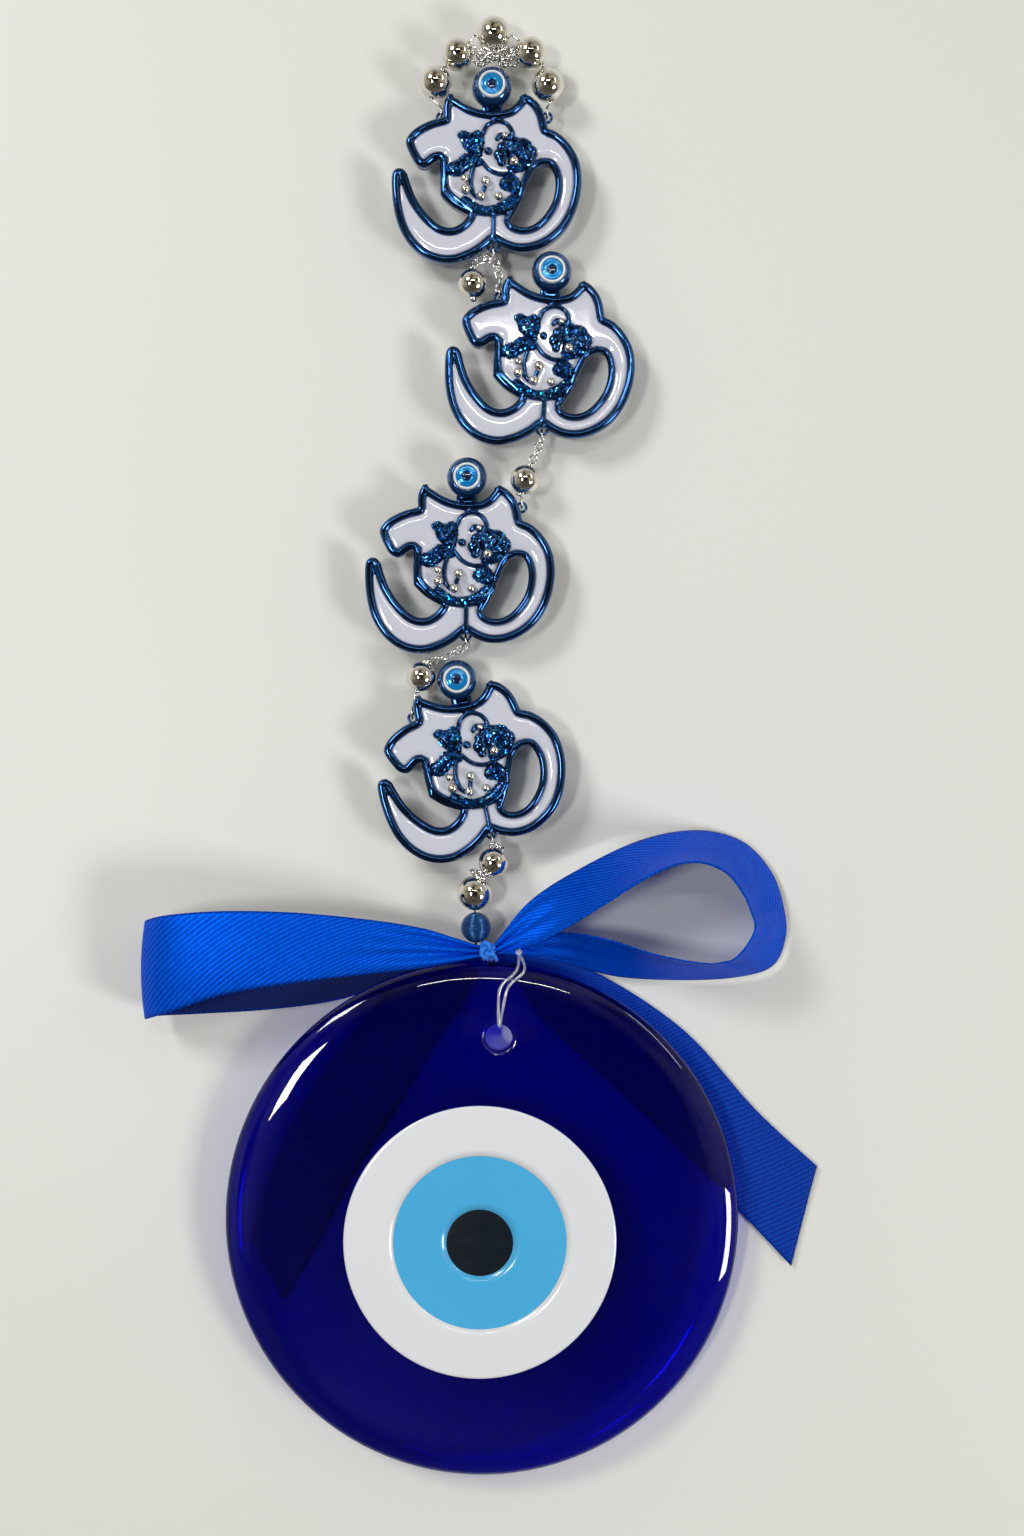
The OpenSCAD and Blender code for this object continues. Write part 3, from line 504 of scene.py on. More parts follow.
glitter_fields = [
    [(-8.2, -11.6), (-6.8, -10.6), (-5, -11.1), (-3.3, -10.6), (-2, -11.3), (-1.8, -13.6), (-2.2, -15.8),
     (-2.7, -16.9), (-4.8, -16.3), (-6.6, -14.9), (-7.4, -12.9)],
    [(3.6, -13), (5, -12.2), (7.2, -12.4), (8.8, -12.9), (9.7, -14.4), (10.6, -16.2), (9.5, -17.6), (8.2, -19.3),
     (6.4, -20.4), (4.3, -20.7), (3.5, -19.3), (3.7, -17), (3.2, -15)],
    [(-10.5, -18.7), (-9.4, -18), (-8, -17.3), (-6.7, -16.2), (-5, -15.9), (-3.1, -16.7), (-2.2, -18.1),
     (-3.2, -19.2), (-4.6, -19.2), (-6, -20.2), (-7.4, -21.3), (-9, -21.4), (-10.2, -20.9), (-10.7, -19.8)],
    [(2.4, -21.8), (3.8, -20.8), (5.5, -21.1), (6.5, -22.7), (6.9, -24.1), (5.9, -25), (4.1, -25.1), (2.3, -24.4),
     (1.7, -23.1)],
    [(-7.6, -27.3), (-6, -28.8), (-3.3, -30), (-0.6, -30.6), (2, -30.2), (4.6, -29.1), (6.4, -27.4), (7.1, -25.9),
     (5.6, -24.9), (3.7, -26.2), (2, -27.5), (0.2, -28.1), (-1.5, -28.3), (-3.2, -27.9), (-4.6, -26.9),
     (-5.9, -26), (-7, -26.1)]]
studs = [(-6.4, -22.2, 0.95), (-6.2, -24.8, 1.2), (-1.5, -22.9, 1.15), (-2.5, -26.4, 1.15), (1.5, -26.4, 1.0),
         (5.2, -18.2, 1.15), (3.1, -12.1, 0.7)]
LEFT, RIGHT, LOW = (-12, -6.6), (13, -6.6), (0.3, -37.2)
EYELETS = [(LEFT, RIGHT, LOW), (LEFT, LOW), (RIGHT, LOW), (LEFT, LOW)]
CHARMS = [((-0.2, -8.5), 0), ((13.9, -52), 4), ((-6.1, -100.5), 1), ((-8.5, -148.2), -12)]
BACK_Y = 1.8


def charm_matrix(number):
    (x, z), turn = CHARMS[number - 1]
    return Matrix.Translation((x, 0, z)) @ Matrix.Rotation(math.radians(turn), 4, "Y")


print("outline points:", len(outline))

# %% [markdown]
# Distances to the drawing shape the reliefs: enamel swells away from its rims as a poured
# liquid does, and glitter lacquer stands up as low mounds.

# %% Distance from drawn lines, and reliefs
def line_distance(grid, loops, closed=True):
    best = np.full(len(grid), 1e9)
    for loop in loops:
        pts = np.array(loop, dtype=float)
        ends = np.roll(pts, -1, axis=0) if closed else pts[1:]
        starts = pts if closed else pts[:-1]
        for a, b in zip(starts, ends):
            d = b - a
            share = np.clip(((grid - a) @ d) / max(d @ d, 1e-12), 0, 1)
            best = np.minimum(best, np.hypot(*(grid - a - share[:, None] * d).T))
    return best


def inside(grid, loops):
    within = np.zeros(len(grid), dtype=bool)
    for loop in loops:
        pts = np.array(loop, dtype=float)
        for a, b in zip(pts, np.roll(pts, -1, axis=0)):
            if a[1] == b[1]:
                continue
            crosses = (a[1] > grid[:, 1]) != (b[1] > grid[:, 1])
            x = a[0] + (grid[:, 1] - a[1]) * (b[0] - a[0]) / (b[1] - a[1])
            within ^= crosses & (grid[:, 0] < x)
    return within


def relief(loops, rise, depth, base_y, step):
    """A closed solid over a grid. depth(grid) is above 0 inside; its front lies at y = rise(grid)."""
    pts = np.array([p for loop in loops for p in loop])
    low, high = pts.min(0) - 1, pts.max(0) + 1
    xs, zs = np.arange(low[0], high[0], step), np.arange(low[1], high[1], step)
    grid = np.array([(x, z) for z in zs for x in xs])
    keep = (depth(grid) > 0).reshape(len(zs), len(xs))
    front = rise(grid)
    quads = keep[:-1, :-1] & keep[1:, :-1] & keep[:-1, 1:] & keep[1:, 1:]
    index, corners, faces, edges = {}, [], [], {}

    def corner(i, j, layer):
        key = (i, j, layer)
        if key not in index:
            index[key] = len(corners)
            g = i * len(xs) + j
            corners.append((grid[g][0], front[g] if layer else base_y, grid[g][1]))
        return index[key]

    for i, j in zip(*np.nonzero(quads)):
        ring = [(i, j), (i, j + 1), (i + 1, j + 1), (i + 1, j)]
        faces.append([corner(*c, 1) for c in ring])
        faces.append([corner(*c, 0) for c in reversed(ring)])
        for a, b in zip(ring, ring[1:] + ring[:1]):
            if (b, a) in edges:
                del edges[(b, a)]
            else:
                edges[(a, b)] = True
    for a, b in edges:
        faces.append([corner(*b, 1), corner(*a, 1), corner(*a, 0), corner(*b, 0)])
    return corners, faces


# %% [markdown]
# The casting is put together from simple solids: a flat back, a round ridge along every
# outline, the lines and lumps of the figure, and the eyelets. Remeshing them as one skin and
# smoothing it gives the soft fillets that a real casting has.

# %% The casting
RIM_IN = 0.9
RIM_HALF = 1.08
RIM_DEEP = 1.3
RIM_Y = -0.8


def inset(loop, distance):
    pts = np.array(loop)
    ahead, behind = np.roll(pts, -1, axis=0), np.roll(pts, 1, axis=0)
    along = ahead - behind
    along /= np.linalg.norm(along, axis=1)[:, None]
    area = np.sum(pts[:, 0] * ahead[:, 1] - ahead[:, 0] * pts[:, 1])
    inward = np.stack([-along[:, 1], along[:, 0]], 1) * (1 if area > 0 else -1)
    return pts + inward * distance


def flat_plate(loops, front, back, bevel):
    """A filled outline made solid from y = front to y = back."""
    curve = bpy.data.curves.new("plate", "CURVE")
    curve.dimensions = "2D"
    curve.fill_mode = "BOTH"
    curve.extrude = (back - front) / 2 - bevel
    curve.bevel_depth = bevel
    curve.bevel_resolution = 2
    curve.offset = -bevel
    for loop in loops:
        spline = curve.splines.new("POLY")
        spline.points.add(len(loop) - 1)
        for point, (x, y) in zip(spline.points, loop):
            point.co = (x, y, 0, 1)
        spline.use_cyclic_u = True
    obj = bpy.data.objects.new("plate", curve)
    bpy.context.scene.collection.objects.link(obj)
    bpy.context.view_layer.update()
    mesh = bpy.data.meshes.new_from_object(obj)
    mesh.transform(Matrix.Translation((0, (front + back) / 2, 0)) @ TO_FRONT)
    part = [tuple(v.co) for v in mesh.vertices], [tuple(p.vertices) for p in mesh.polygons]
    bpy.data.objects.remove(obj)
    bpy.data.meshes.remove(mesh)
    return part


def ridge(points, half, deep, y, closed):
    """A rounded ridge along drawn points: an oval tube whose long axis points to the front."""
    pts = np.array(points)
    count = len(pts)
    corners, sides = [], 12
    for i in range(count):
        a = pts[i - 1] if closed or i else pts[i]
        b = pts[(i + 1) % count] if closed or i < count - 1 else pts[i]
        d = (b - a) / max(np.linalg.norm(b - a), 1e-9)
        for k in range(sides):
            angle = 2 * math.pi * k / sides
            corners.append((pts[i][0] - d[1] * half * math.cos(angle), y + deep * math.sin(angle),
                            pts[i][1] + d[0] * half * math.cos(angle)))
    faces = [(i * sides + k, i * sides + (k + 1) % sides, (i + 1) % count * sides + (k + 1) % sides,
              (i + 1) % count * sides + k)
             for i in range(count if closed else count - 1) for k in range(sides)]
    if not closed:
        faces += [tuple(range(sides)), tuple((count - 1) * sides + k for k in reversed(range(sides)))]
    return corners, faces


def lump(x, y, z, rx, ry, rz):
    ball = turned([(math.sin(math.pi * k / 10), -math.cos(math.pi * k / 10)) for k in range(11)][0:1] +
                  [(math.sin(math.pi * k / 10), -math.cos(math.pi * k / 10)) for k in range(1, 10)] + [(0, 1)], 16)
    return placed(ball, Matrix.Translation((x, y, z)) @ Matrix.Diagonal((rx, ry, rz, 1)))


def oval_ring(x, z, radius, half, deep, y):
    circle = [(x + radius * math.cos(math.pi * k / 12), z + radius * math.sin(math.pi * k / 12)) for k in range(24)]
    return ridge(circle, half, deep, y, True)


def line_points(line):
    return [(p.x, p.y) for p in smooth_path([(x, z, 0) for x, z in line], 5)]


def casting_parts(eyelets):
    parts = [flat_plate([outline, teardrop], -0.5, BACK_Y, 0.15)]
    parts.append(ridge(inset(outline, RIM_IN), RIM_HALF, RIM_DEEP, RIM_Y, True))
    parts.append(ridge(inset(teardrop, -0.5), 0.9, RIM_DEEP, RIM_Y, True))
    for line in figure_lines:
        pts = line_points(line)
        parts.append(ridge(pts, 0.62, 1.05, -1.2, False))
        parts += [lump(x, -1.2, z, 0.62, 1.05, 0.62) for x, z in (pts[0], pts[-1])]
    for x, z, rx, rz, y in ((2.5, -14.6, 1.5, 1.3, -1.6), (2.0, -16.5, 1.7, 1.7, -1.9), (2.2, -18.3, 1.1, 1.0, -1.7),
                            (-0.9, -15.5, 1.0, 1.0, -1.5), (3.1, -12.1, 1.1, 1.0, -1.5), (5.2, -18.2, 1.5, 1.5, -2.1),
                            (8.6, -17.2, 1.5, 1.3, -1.9), (9.4, -15.4, 1.2, 1.1, -1.7)):
        parts.append(lump(x, y, z, rx, 1.0, rz))
    for x, z in eyelets:
        parts.append(oval_ring(x, z, 1.1, 0.36, 0.6, BACK_Y - 0.6))
    parts.append(lump(0, 1.15, -4.5, 2.6, 0.62, 4.6))
    return parts


def cast_skin(name, parts, voxel, rounds):
    rough = piece_object(name, joined(parts), casting_blue, scale=1.0)
    skin = rough.modifiers.new("skin", "REMESH")
    skin.mode, skin.voxel_size, skin.use_smooth_shade = "VOXEL", voxel, True
    soften = rough.modifiers.new("soften", "SMOOTH")
    soften.factor, soften.iterations = 0.5, rounds
    return evaluated(rough, name, casting_blue)


castings = {eyelets: cast_skin("casting_master", casting_parts(eyelets), 0.22, 3) for eyelets in set(EYELETS)}
print("castings:", [len(casting.data.polygons) for casting in castings.values()], "faces")

# %% The enamel
ENAMEL_EDGE = 0.8


def enamel_depth(grid):
    return np.where(inside(grid, [outline, teardrop]), line_distance(grid, [outline, teardrop]), 0) - ENAMEL_EDGE


def enamel_front(grid):
    swell = 1 - np.exp(-(np.maximum(enamel_depth(grid), 0) / 1.15) ** 2)
    near_line = line_distance(grid, [line_points(line) for line in figure_lines], closed=False)
    return -0.85 - 0.55 * swell + 0.10 * np.exp(-(near_line / 0.7) ** 2)


enamel_part = relief([outline], enamel_front, enamel_depth, -0.3, 0.36)
print("enamel faces:", len(enamel_part[1]))

# %% [markdown]
# The glitter fields are low mounds of lacquer. Geometry Nodes scatter small six-sided flakes on
# them, each tipped a little its own way, so that single flakes catch the light.

# %% Glitter mounds and flakes
def glitter_part():
    parts = []
    for field in glitter_fields:
        loop = [(p.x, p.y) for p in smooth_path([(x, z, 0) for x, z in field], 4, closed=True)]

        def signed(grid, loop=loop):
            return np.where(inside(grid, [loop]), 1, -1) * line_distance(grid, [loop])

        def front(grid, signed=signed):
            d = signed(grid) + 0.3
            wobble = 0.06 * np.sin(3.1 * grid[:, 0]) * np.sin(2.7 * grid[:, 1])
            return -0.7 - 1.75 * (1 - np.exp(-np.maximum(d, 0) / 0.55)) - wobble

        parts.append(relief([loop], front, lambda grid, signed=signed: signed(grid) + 0.3, -0.4, 0.22))
    return joined(parts)


def geometry_tree(name, sockets):
    tree = bpy.data.node_groups.new(name, "GeometryNodeTree")
    tree.interface.new_socket("Geometry", in_out="INPUT", socket_type="NodeSocketGeometry")
    for label, kind, value in sockets:
        socket = tree.interface.new_socket(label, in_out="INPUT", socket_type=kind)
        if value is not None:
            socket.default_value = value
    tree.interface.new_socket("Geometry", in_out="OUTPUT", socket_type="NodeSocketGeometry")
    return tree, tree.nodes.new("NodeGroupInput"), tree.nodes.new("NodeGroupOutput")


def use_tree(obj, tree, values):
    modifier = obj.modifiers.new(tree.name, "NODES")
    modifier.node_group = tree
    for item in tree.interface.items_tree:
        if item.item_type == "SOCKET" and item.in_out == "INPUT" and item.name in values:
            modifier[item.identifier] = values[item.name]
    return modifier


flake_tree, flake_in, flake_out = geometry_tree(
    "scatter flakes", [("Flake Radius", "NodeSocketFloat", 0.15), ("Density", "NodeSocketFloat", 9.0),
                       ("Tilt", "NodeSocketFloat", 0.5), ("Seed", "NodeSocketInt", 3),
                       ("Material", "NodeSocketMaterial", None)])
link = flake_tree.links.new
normal = add_node(flake_tree, "GeometryNodeInputNormal")
to_front = add_node(flake_tree, "ShaderNodeSeparateXYZ")
faces_front = add_node(flake_tree, "FunctionNodeCompare", {1: -0.15}, data_type="FLOAT", operation="LESS_THAN")
scatter = add_node(flake_tree, "GeometryNodeDistributePointsOnFaces")
flake = add_node(flake_tree, "GeometryNodeMeshCylinder", {"Vertices": 6, "Depth": 0.05})
tip = add_node(flake_tree, "FunctionNodeRandomValue", data_type="FLOAT_VECTOR")
tip_low = add_node(flake_tree, "ShaderNodeVectorMath", operation="SCALE")
tip_low.inputs[0].default_value = (-1, -1, -3)
tip_high = add_node(flake_tree, "ShaderNodeVectorMath", operation="SCALE")
tip_high.inputs[0].default_value = (1, 1, 3)
tip_turn = add_node(flake_tree, "FunctionNodeEulerToRotation")
tipped = add_node(flake_tree, "FunctionNodeRotateRotation", rotation_space="LOCAL")
flakes = add_node(flake_tree, "GeometryNodeInstanceOnPoints")
made_real = add_node(flake_tree, "GeometryNodeRealizeInstances")
painted = add_node(flake_tree, "GeometryNodeSetMaterial")
link(normal.outputs[0], to_front.inputs[0])
link(to_front.outputs["Y"], faces_front.inputs[0])
link(faces_front.outputs[0], scatter.inputs["Selection"])
link(flake_in.outputs["Geometry"], scatter.inputs["Mesh"])
link(flake_in.outputs["Density"], scatter.inputs["Density"])
link(flake_in.outputs["Seed"], scatter.inputs["Seed"])
link(flake_in.outputs["Flake Radius"], flake.inputs["Radius"])
link(flake_in.outputs["Tilt"], tip_low.inputs["Scale"])
link(flake_in.outputs["Tilt"], tip_high.inputs["Scale"])
link(tip_low.outputs[0], tip.inputs[0])
link(tip_high.outputs[0], tip.inputs[1])
link(tip.outputs[0], tip_turn.inputs[0])
link(scatter.outputs["Rotation"], tipped.inputs[0])
link(tip_turn.outputs[0], tipped.inputs[1])
link(scatter.outputs["Points"], flakes.inputs["Points"])
link(flake.outputs["Mesh"], flakes.inputs["Instance"])
link(tipped.outputs[0], flakes.inputs["Rotation"])
link(flakes.outputs[0], made_real.inputs[0])
link(made_real.outputs[0], painted.inputs["Geometry"])
link(flake_in.outputs["Material"], painted.inputs["Material"])
link(painted.outputs[0], flake_out.inputs[0])

mounds = glitter_part()
flake_bed = piece_object("flake_bed", mounds, glitter_lacquer, scale=1.0)
use_tree(flake_bed, flake_tree, {"Material": glitter_flakes, "Flake Radius": 0.27, "Density": 5.0, "Tilt": 0.8})
flakes_master = evaluated(flake_bed, "flakes_master", glitter_flakes)
flakes_part = ([tuple(v.co) for v in flakes_master.data.vertices],
               [tuple(p.vertices) for p in flakes_master.data.polygons])
print("mound faces:", len(mounds[1]), "flake faces:", len(flakes_part[1]))

# %% [markdown]
# The eye bead is a plated dome with rings let into its face: white, light blue, and a dark
# middle. Each ring is turned with its own rounded edge, so a thin groove shows between them.

# %% Eye bead, rings and studs
bead_profile = [(0, -1.1)] + [(4.3, -1.1), (4.72, -0.6), (4.8, 0.1), (4.72, 0.85), (4.45, 1.6), (4.05, 2.15),
                              (3.65, 2.5), (3.42, 2.6), (3.28, 2.5), (3.24, 2.3), (0, 2.3)]
white_profile = [(2.58, 2.2), (2.58, 2.62), (2.64, 2.8), (2.78, 2.92), (2.95, 2.88), (3.14, 2.66), (3.22, 2.4),
                 (3.22, 2.2)]
sky_profile = [(1.12, 2.15), (1.12, 2.5), (1.2, 2.62), (1.42, 2.7), (1.62, 2.62), (1.8, 2.56), (2.1, 2.56),
               (2.36, 2.58), (2.5, 2.48), (2.54, 2.15)]
dark_profile = [(0, 2.1), (1.06, 2.1), (1.06, 2.34), (0.98, 2.44), (0.7, 2.5), (0, 2.52)]
EYE_PARTS = [("eye_bead", bead_profile, False, bead_blue, "bead_glass"),
             ("eye_white", white_profile, True, bead_white, "bead_white"),
             ("eye_iris", sky_profile, True, bead_sky, "bead_light_blue"),
             ("eye_pupil", dark_profile, False, bead_dark, "bead_pupil")]


def stud_part():
    ball = [(math.sin(math.pi * k / 12), -math.cos(math.pi * k / 12)) for k in range(13)]
    ball[0], ball[-1] = (0, -1), (0, 1)
    return joined([placed(turned(ball, 24), Matrix.Translation((x, -2.5, z)) @ Matrix.Scale(r * 1.0, 4))
                   for x, z, r in studs])


# %% Dress the four charms
def charm_object(name, part, material, matrix):
    return piece_object(name, placed(part, matrix), material)


for number in range(1, 5):
    place = charm_matrix(number)
    body = f"charm_{number}"
    skin = castings[EYELETS[number - 1]].data.copy()
    skin.shade_smooth()
    skin.transform(Matrix.Scale(0.001, 4) @ place)
    body_casting = bpy.data.objects.new(f"{body}_casting", skin)
    bpy.context.scene.collection.objects.link(body_casting)
    belongs(body_casting, body, "casting", f"{body}_frame")
    belongs(charm_object(f"{body}_enamel_fill", enamel_part, enamel_white, place), body, "enamel", f"{body}_enamel")
    belongs(charm_object(f"{body}_glitter_mounds", mounds, glitter_lacquer, place), body, "glitter",
            f"{body}_glitter")
    scattered = charm_object(f"{body}_glitter_flakes", flakes_part, glitter_flakes, place)
    scattered.data.shade_flat()
    belongs(scattered, body, "glitter", f"{body}_glitter")
    belongs(charm_object(f"{body}_stud_balls", stud_part(), silver, place), body, "silver", f"{body}_studs")
    for label, profile, closed, material, slot_name in EYE_PARTS:
        ring = placed(turned(profile, 72, closed), TO_FRONT)
        belongs(charm_object(f"{body}_{label}_turned", ring, material, place), body, slot_name, f"{body}_{label}")
for casting in castings.values():
    bpy.data.objects.remove(casting)
bpy.data.objects.remove(flakes_master)
print("charms dressed: 4")

# %% [markdown]
# The silver balls are hollow shells with a bore. The lip of each bore is rolled inwards, which
# is what a real drawn ball shows at its ends. Each ball turns about its own bore.

# %% Silver balls
def bored_ball(radius, bore):
    start = math.asin(bore / radius)
    arc = [(radius * math.sin(start + (math.pi - 2 * start) * k / 40),
            -radius * math.cos(start + (math.pi - 2 * start) * k / 40)) for k in range(41)]
    end = radius * math.cos(start)
    lip = [(bore - 0.08, end - 0.12), (bore - 0.1, end - 0.4), (bore - 0.1, 0.4 - end), (bore - 0.08, 0.12 - end)]
    return turned(arc + lip, 72, closed=True)


def along_bore(body):
    hinge = hinges[body]
    turn = Vector(hinge["axis"]).to_track_quat("Z", "Y").to_matrix().to_4x4()
    return Matrix.Translation(Vector(hinge["pos_m"]) * 1000) @ turn


BALLS = {**{f"loop_ball_{i}": (4.1 if i == 3 else 3.8, f"loop_ball_{i}") for i in range(1, 6)},
         **{f"link_ball_{i}": (3.5, f"link_{i}_ball") for i in range(1, 4)},
         "drop_ball_1": (3.5, "drop_ball_1"), "drop_ball_2": (4.1, "drop_ball_2")}
for body, (radius, node) in BALLS.items():
    shell = placed(bored_ball(radius, 0.75), along_bore(body))
    belongs(piece_object(f"{node}_shell", shell, silver), body, "silver", node)
print("balls:", len(BALLS))

# %% [markdown]
# Between the charms run short chains of oval wire links. One link is drawn once, and Geometry
# Nodes set it along each route, turning every second link by a quarter turn.

# %% Chain tree
chain_tree, chain_in, chain_out = geometry_tree(
    "chain along a route", [("Pitch", "NodeSocketFloat", 1.5), ("Link Length", "NodeSocketFloat", 1.12),
                            ("Link Width", "NodeSocketFloat", 0.85), ("Wire", "NodeSocketFloat", 0.26),
                            ("Jitter", "NodeSocketFloat", 0.3), ("Seed", "NodeSocketInt", 5),
                            ("Material", "NodeSocketMaterial", None)])
link = chain_tree.links.new
even_points = add_node(chain_tree, "GeometryNodeResampleCurve", mode="LENGTH")
ring_curve = add_node(chain_tree, "GeometryNodeCurvePrimitiveCircle", {"Resolution": 12})
ring_size = add_node(chain_tree, "ShaderNodeCombineXYZ", {2: 1.0})
ring_oval = add_node(chain_tree, "GeometryNodeTransform")
wire_curve = add_node(chain_tree, "GeometryNodeCurvePrimitiveCircle", {"Resolution": 6})
ring_mesh = add_node(chain_tree, "GeometryNodeCurveToMesh")
tangent = add_node(chain_tree, "GeometryNodeInputTangent")
aligned = add_node(chain_tree, "FunctionNodeAlignRotationToVector", axis="X")
place_in_row = add_node(chain_tree, "GeometryNodeInputIndex")
every_second = add_node(chain_tree, "ShaderNodeMath", {1: math.pi / 2}, operation="MULTIPLY")
loose = add_node(chain_tree, "FunctionNodeRandomValue", data_type="FLOAT")
loose_low = add_node(chain_tree, "ShaderNodeMath", {1: -1.0}, operation="MULTIPLY")
turn_sum = add_node(chain_tree, "ShaderNodeMath", operation="ADD")
turn_vector = add_node(chain_tree, "ShaderNodeCombineXYZ")
turn_rotation = add_node(chain_tree, "FunctionNodeEulerToRotation")
both_turns = add_node(chain_tree, "FunctionNodeRotateRotation", rotation_space="LOCAL")
set_links = add_node(chain_tree, "GeometryNodeInstanceOnPoints")
real_links = add_node(chain_tree, "GeometryNodeRealizeInstances")
painted_links = add_node(chain_tree, "GeometryNodeSetMaterial")
link(chain_in.outputs["Geometry"], even_points.inputs["Curve"])
link(chain_in.outputs["Pitch"], even_points.inputs["Length"])
link(chain_in.outputs["Link Length"], ring_size.inputs[0])
link(chain_in.outputs["Link Width"], ring_size.inputs[1])
link(ring_curve.outputs["Curve"], ring_oval.inputs["Geometry"])
link(ring_size.outputs[0], ring_oval.inputs["Scale"])
link(chain_in.outputs["Wire"], wire_curve.inputs["Radius"])
link(ring_oval.outputs[0], ring_mesh.inputs["Curve"])
link(wire_curve.outputs["Curve"], ring_mesh.inputs["Profile Curve"])
link(tangent.outputs[0], aligned.inputs["Vector"])
link(place_in_row.outputs[0], every_second.inputs[0])
link(chain_in.outputs["Jitter"], loose_low.inputs[0])
link(loose_low.outputs[0], loose.inputs[2])
link(chain_in.outputs["Jitter"], loose.inputs[3])
link(chain_in.outputs["Seed"], loose.inputs["Seed"])
link(every_second.outputs[0], turn_sum.inputs[0])
link(loose.outputs[1], turn_sum.inputs[1])
link(turn_sum.outputs[0], turn_vector.inputs[0])
link(turn_vector.outputs[0], turn_rotation.inputs[0])
link(aligned.outputs[0], both_turns.inputs[0])
link(turn_rotation.outputs[0], both_turns.inputs[1])
link(even_points.outputs[0], set_links.inputs["Points"])
link(ring_mesh.outputs[0], set_links.inputs["Instance"])
link(both_turns.outputs[0], set_links.inputs["Rotation"])
link(set_links.outputs[0], real_links.inputs[0])
link(real_links.outputs[0], painted_links.inputs["Geometry"])
link(chain_in.outputs["Material"], painted_links.inputs["Material"])
link(painted_links.outputs[0], chain_out.inputs[0])


def chain_parts(name, route, **sizes):
    """The links along a route, as corners and faces in millimetres."""
    curve = bpy.data.curves.new(name, "CURVE")
    curve.dimensions = "3D"
    spline = curve.splines.new("POLY")
    points = smooth_path(route, 6)
    spline.points.add(len(points) - 1)
    for point, place in zip(spline.points, points):
        point.co = tuple(place) + (1,)
    obj = bpy.data.objects.new(name, curve)
    bpy.context.scene.collection.objects.link(obj)
    use_tree(obj, chain_tree, {"Material": chain_silver, **sizes})
    bpy.context.view_layer.update()
    mesh = bpy.data.meshes.new_from_object(obj.evaluated_get(bpy.context.evaluated_depsgraph_get()))
    part = [tuple(v.co) for v in mesh.vertices], [tuple(p.vertices) for p in mesh.polygons]
    bpy.data.objects.remove(obj)
    bpy.data.meshes.remove(mesh)
    return part


# %% [markdown]
# The routes are those of the CAD strings, in millimetres. A wire pin runs through each bore,
# and ends in a turn around the eyelet it hangs from.

# %% Routes
EYELET_BAR = 1.1
EYELET_Y = 1.2
TURN_RADIUS = 1.19


def on_charm(number, x, z, y=EYELET_Y):
    return charm_matrix(number) @ Vector((x, y, z))


def turn_about(at, upwards):
    """A wire's turn around an eyelet's bar, open towards where the wire leaves."""
    sign = 1 if upwards else -1
    return [at + TURN_RADIUS * Vector((0, math.sin(math.radians(a)), sign * math.cos(math.radians(a))))
            for a in range(325, 30, -20)]


left_top = on_charm(1, -12, -6.6 + EYELET_BAR)
right_top = on_charm(1, 13, -6.6 + EYELET_BAR)


def bore_ends(body, radius):
    hinge = hinges[body]
    middle, along = Vector(hinge["pos_m"]) * 1000, Vector(hinge["axis"]).normalized()
    return middle - along * (radius + 0.12), middle + along * (radius + 0.12)


loop_route = list(reversed(turn_about(left_top, True)))
for i in range(1, 6):
    loop_route += bore_ends(f"loop_ball_{i}", BALLS[f"loop_ball_{i}"][0])
loop_route += turn_about(right_top, True)
low = [on_charm(n, 0.3, -37.2 - EYELET_BAR) for n in range(1, 5)]
tops = [on_charm(2, -12, -5.5), on_charm(3, 13, -5.5), on_charm(4, -12, -5.5)]
DOWN, UP = Vector((0, 0, -TURN_RADIUS)), Vector((0, 0, TURN_RADIUS))


# %% Loop wire and the little chain under the top ball
loop_wire = tube(loop_route, 0.3, 12)
belongs(piece_object("loop_wire", loop_wire, chain_silver), "hanging_loop", "string", "loop_string")
swag_routes = [
    [(-5.6, -0.8, 1.2), (-4.2, -1.3, -0.8), (-2.4, -1.4, -1.9), (0.2, -1.5, -1.7), (2.8, -1.4, -1.9),
     (4.6, -1.3, -0.9), (5.8, -0.8, 1.0)],
    [(-5.2, 0.5, -0.8), (-3.6, 0.4, 0.6), (-1.4, -0.6, -0.4), (1.4, -0.4, -0.5), (3.8, 0.5, 0.5), (5.6, 0.5, -1.0)],
    [(-4.4, -0.2, -2.4), (-2.2, 0.3, -2.9), (-0.6, 0.8, -1.2), (1.2, 0.8, -1.0), (2.6, 0.3, -2.8),
     (4.8, -0.2, -2.6)]]
swag = joined([chain_parts("swag", route, Pitch=1.3, Seed=11 + i, Jitter=0.9)
               for i, route in enumerate(swag_routes)])
belongs(piece_object("loop_small_chain", swag, chain_silver), "hanging_loop", "seed_beads", "loop_seed_beads")

# %% Links between the charms
link_1_balls = bore_ends("link_ball_1", 3.5)
pin_1_top = max(link_1_balls, key=lambda p: p.z)
pin_1_low = min(link_1_balls, key=lambda p: p.z)
side_start = low[0] + DOWN + Vector((0.15, 0, -0.9))
link_1 = [tube(turn_about(low[0], False), 0.3, 10), tube(list(reversed(turn_about(tops[0], True))), 0.3, 10),
          tube([pin_1_top + Vector((0, 0, 0.4)), pin_1_low], 0.3, 10), lump(*pin_1_low, 1.0, 1.0, 0.7),
          chain_parts("main", [low[0] + DOWN, (low[0] + tops[0]) / 2 + Vector((0.5, -0.2, 0)), tops[0] + UP], Seed=2),
          chain_parts("side", [side_start, (-1.9, 0.5, -48.6), (-4.0, 0.2, -49.6), pin_1_top], Seed=3)]
belongs(piece_object("link_1_chain", joined(link_1), chain_silver), "link_1", "string", "link_1_strand")


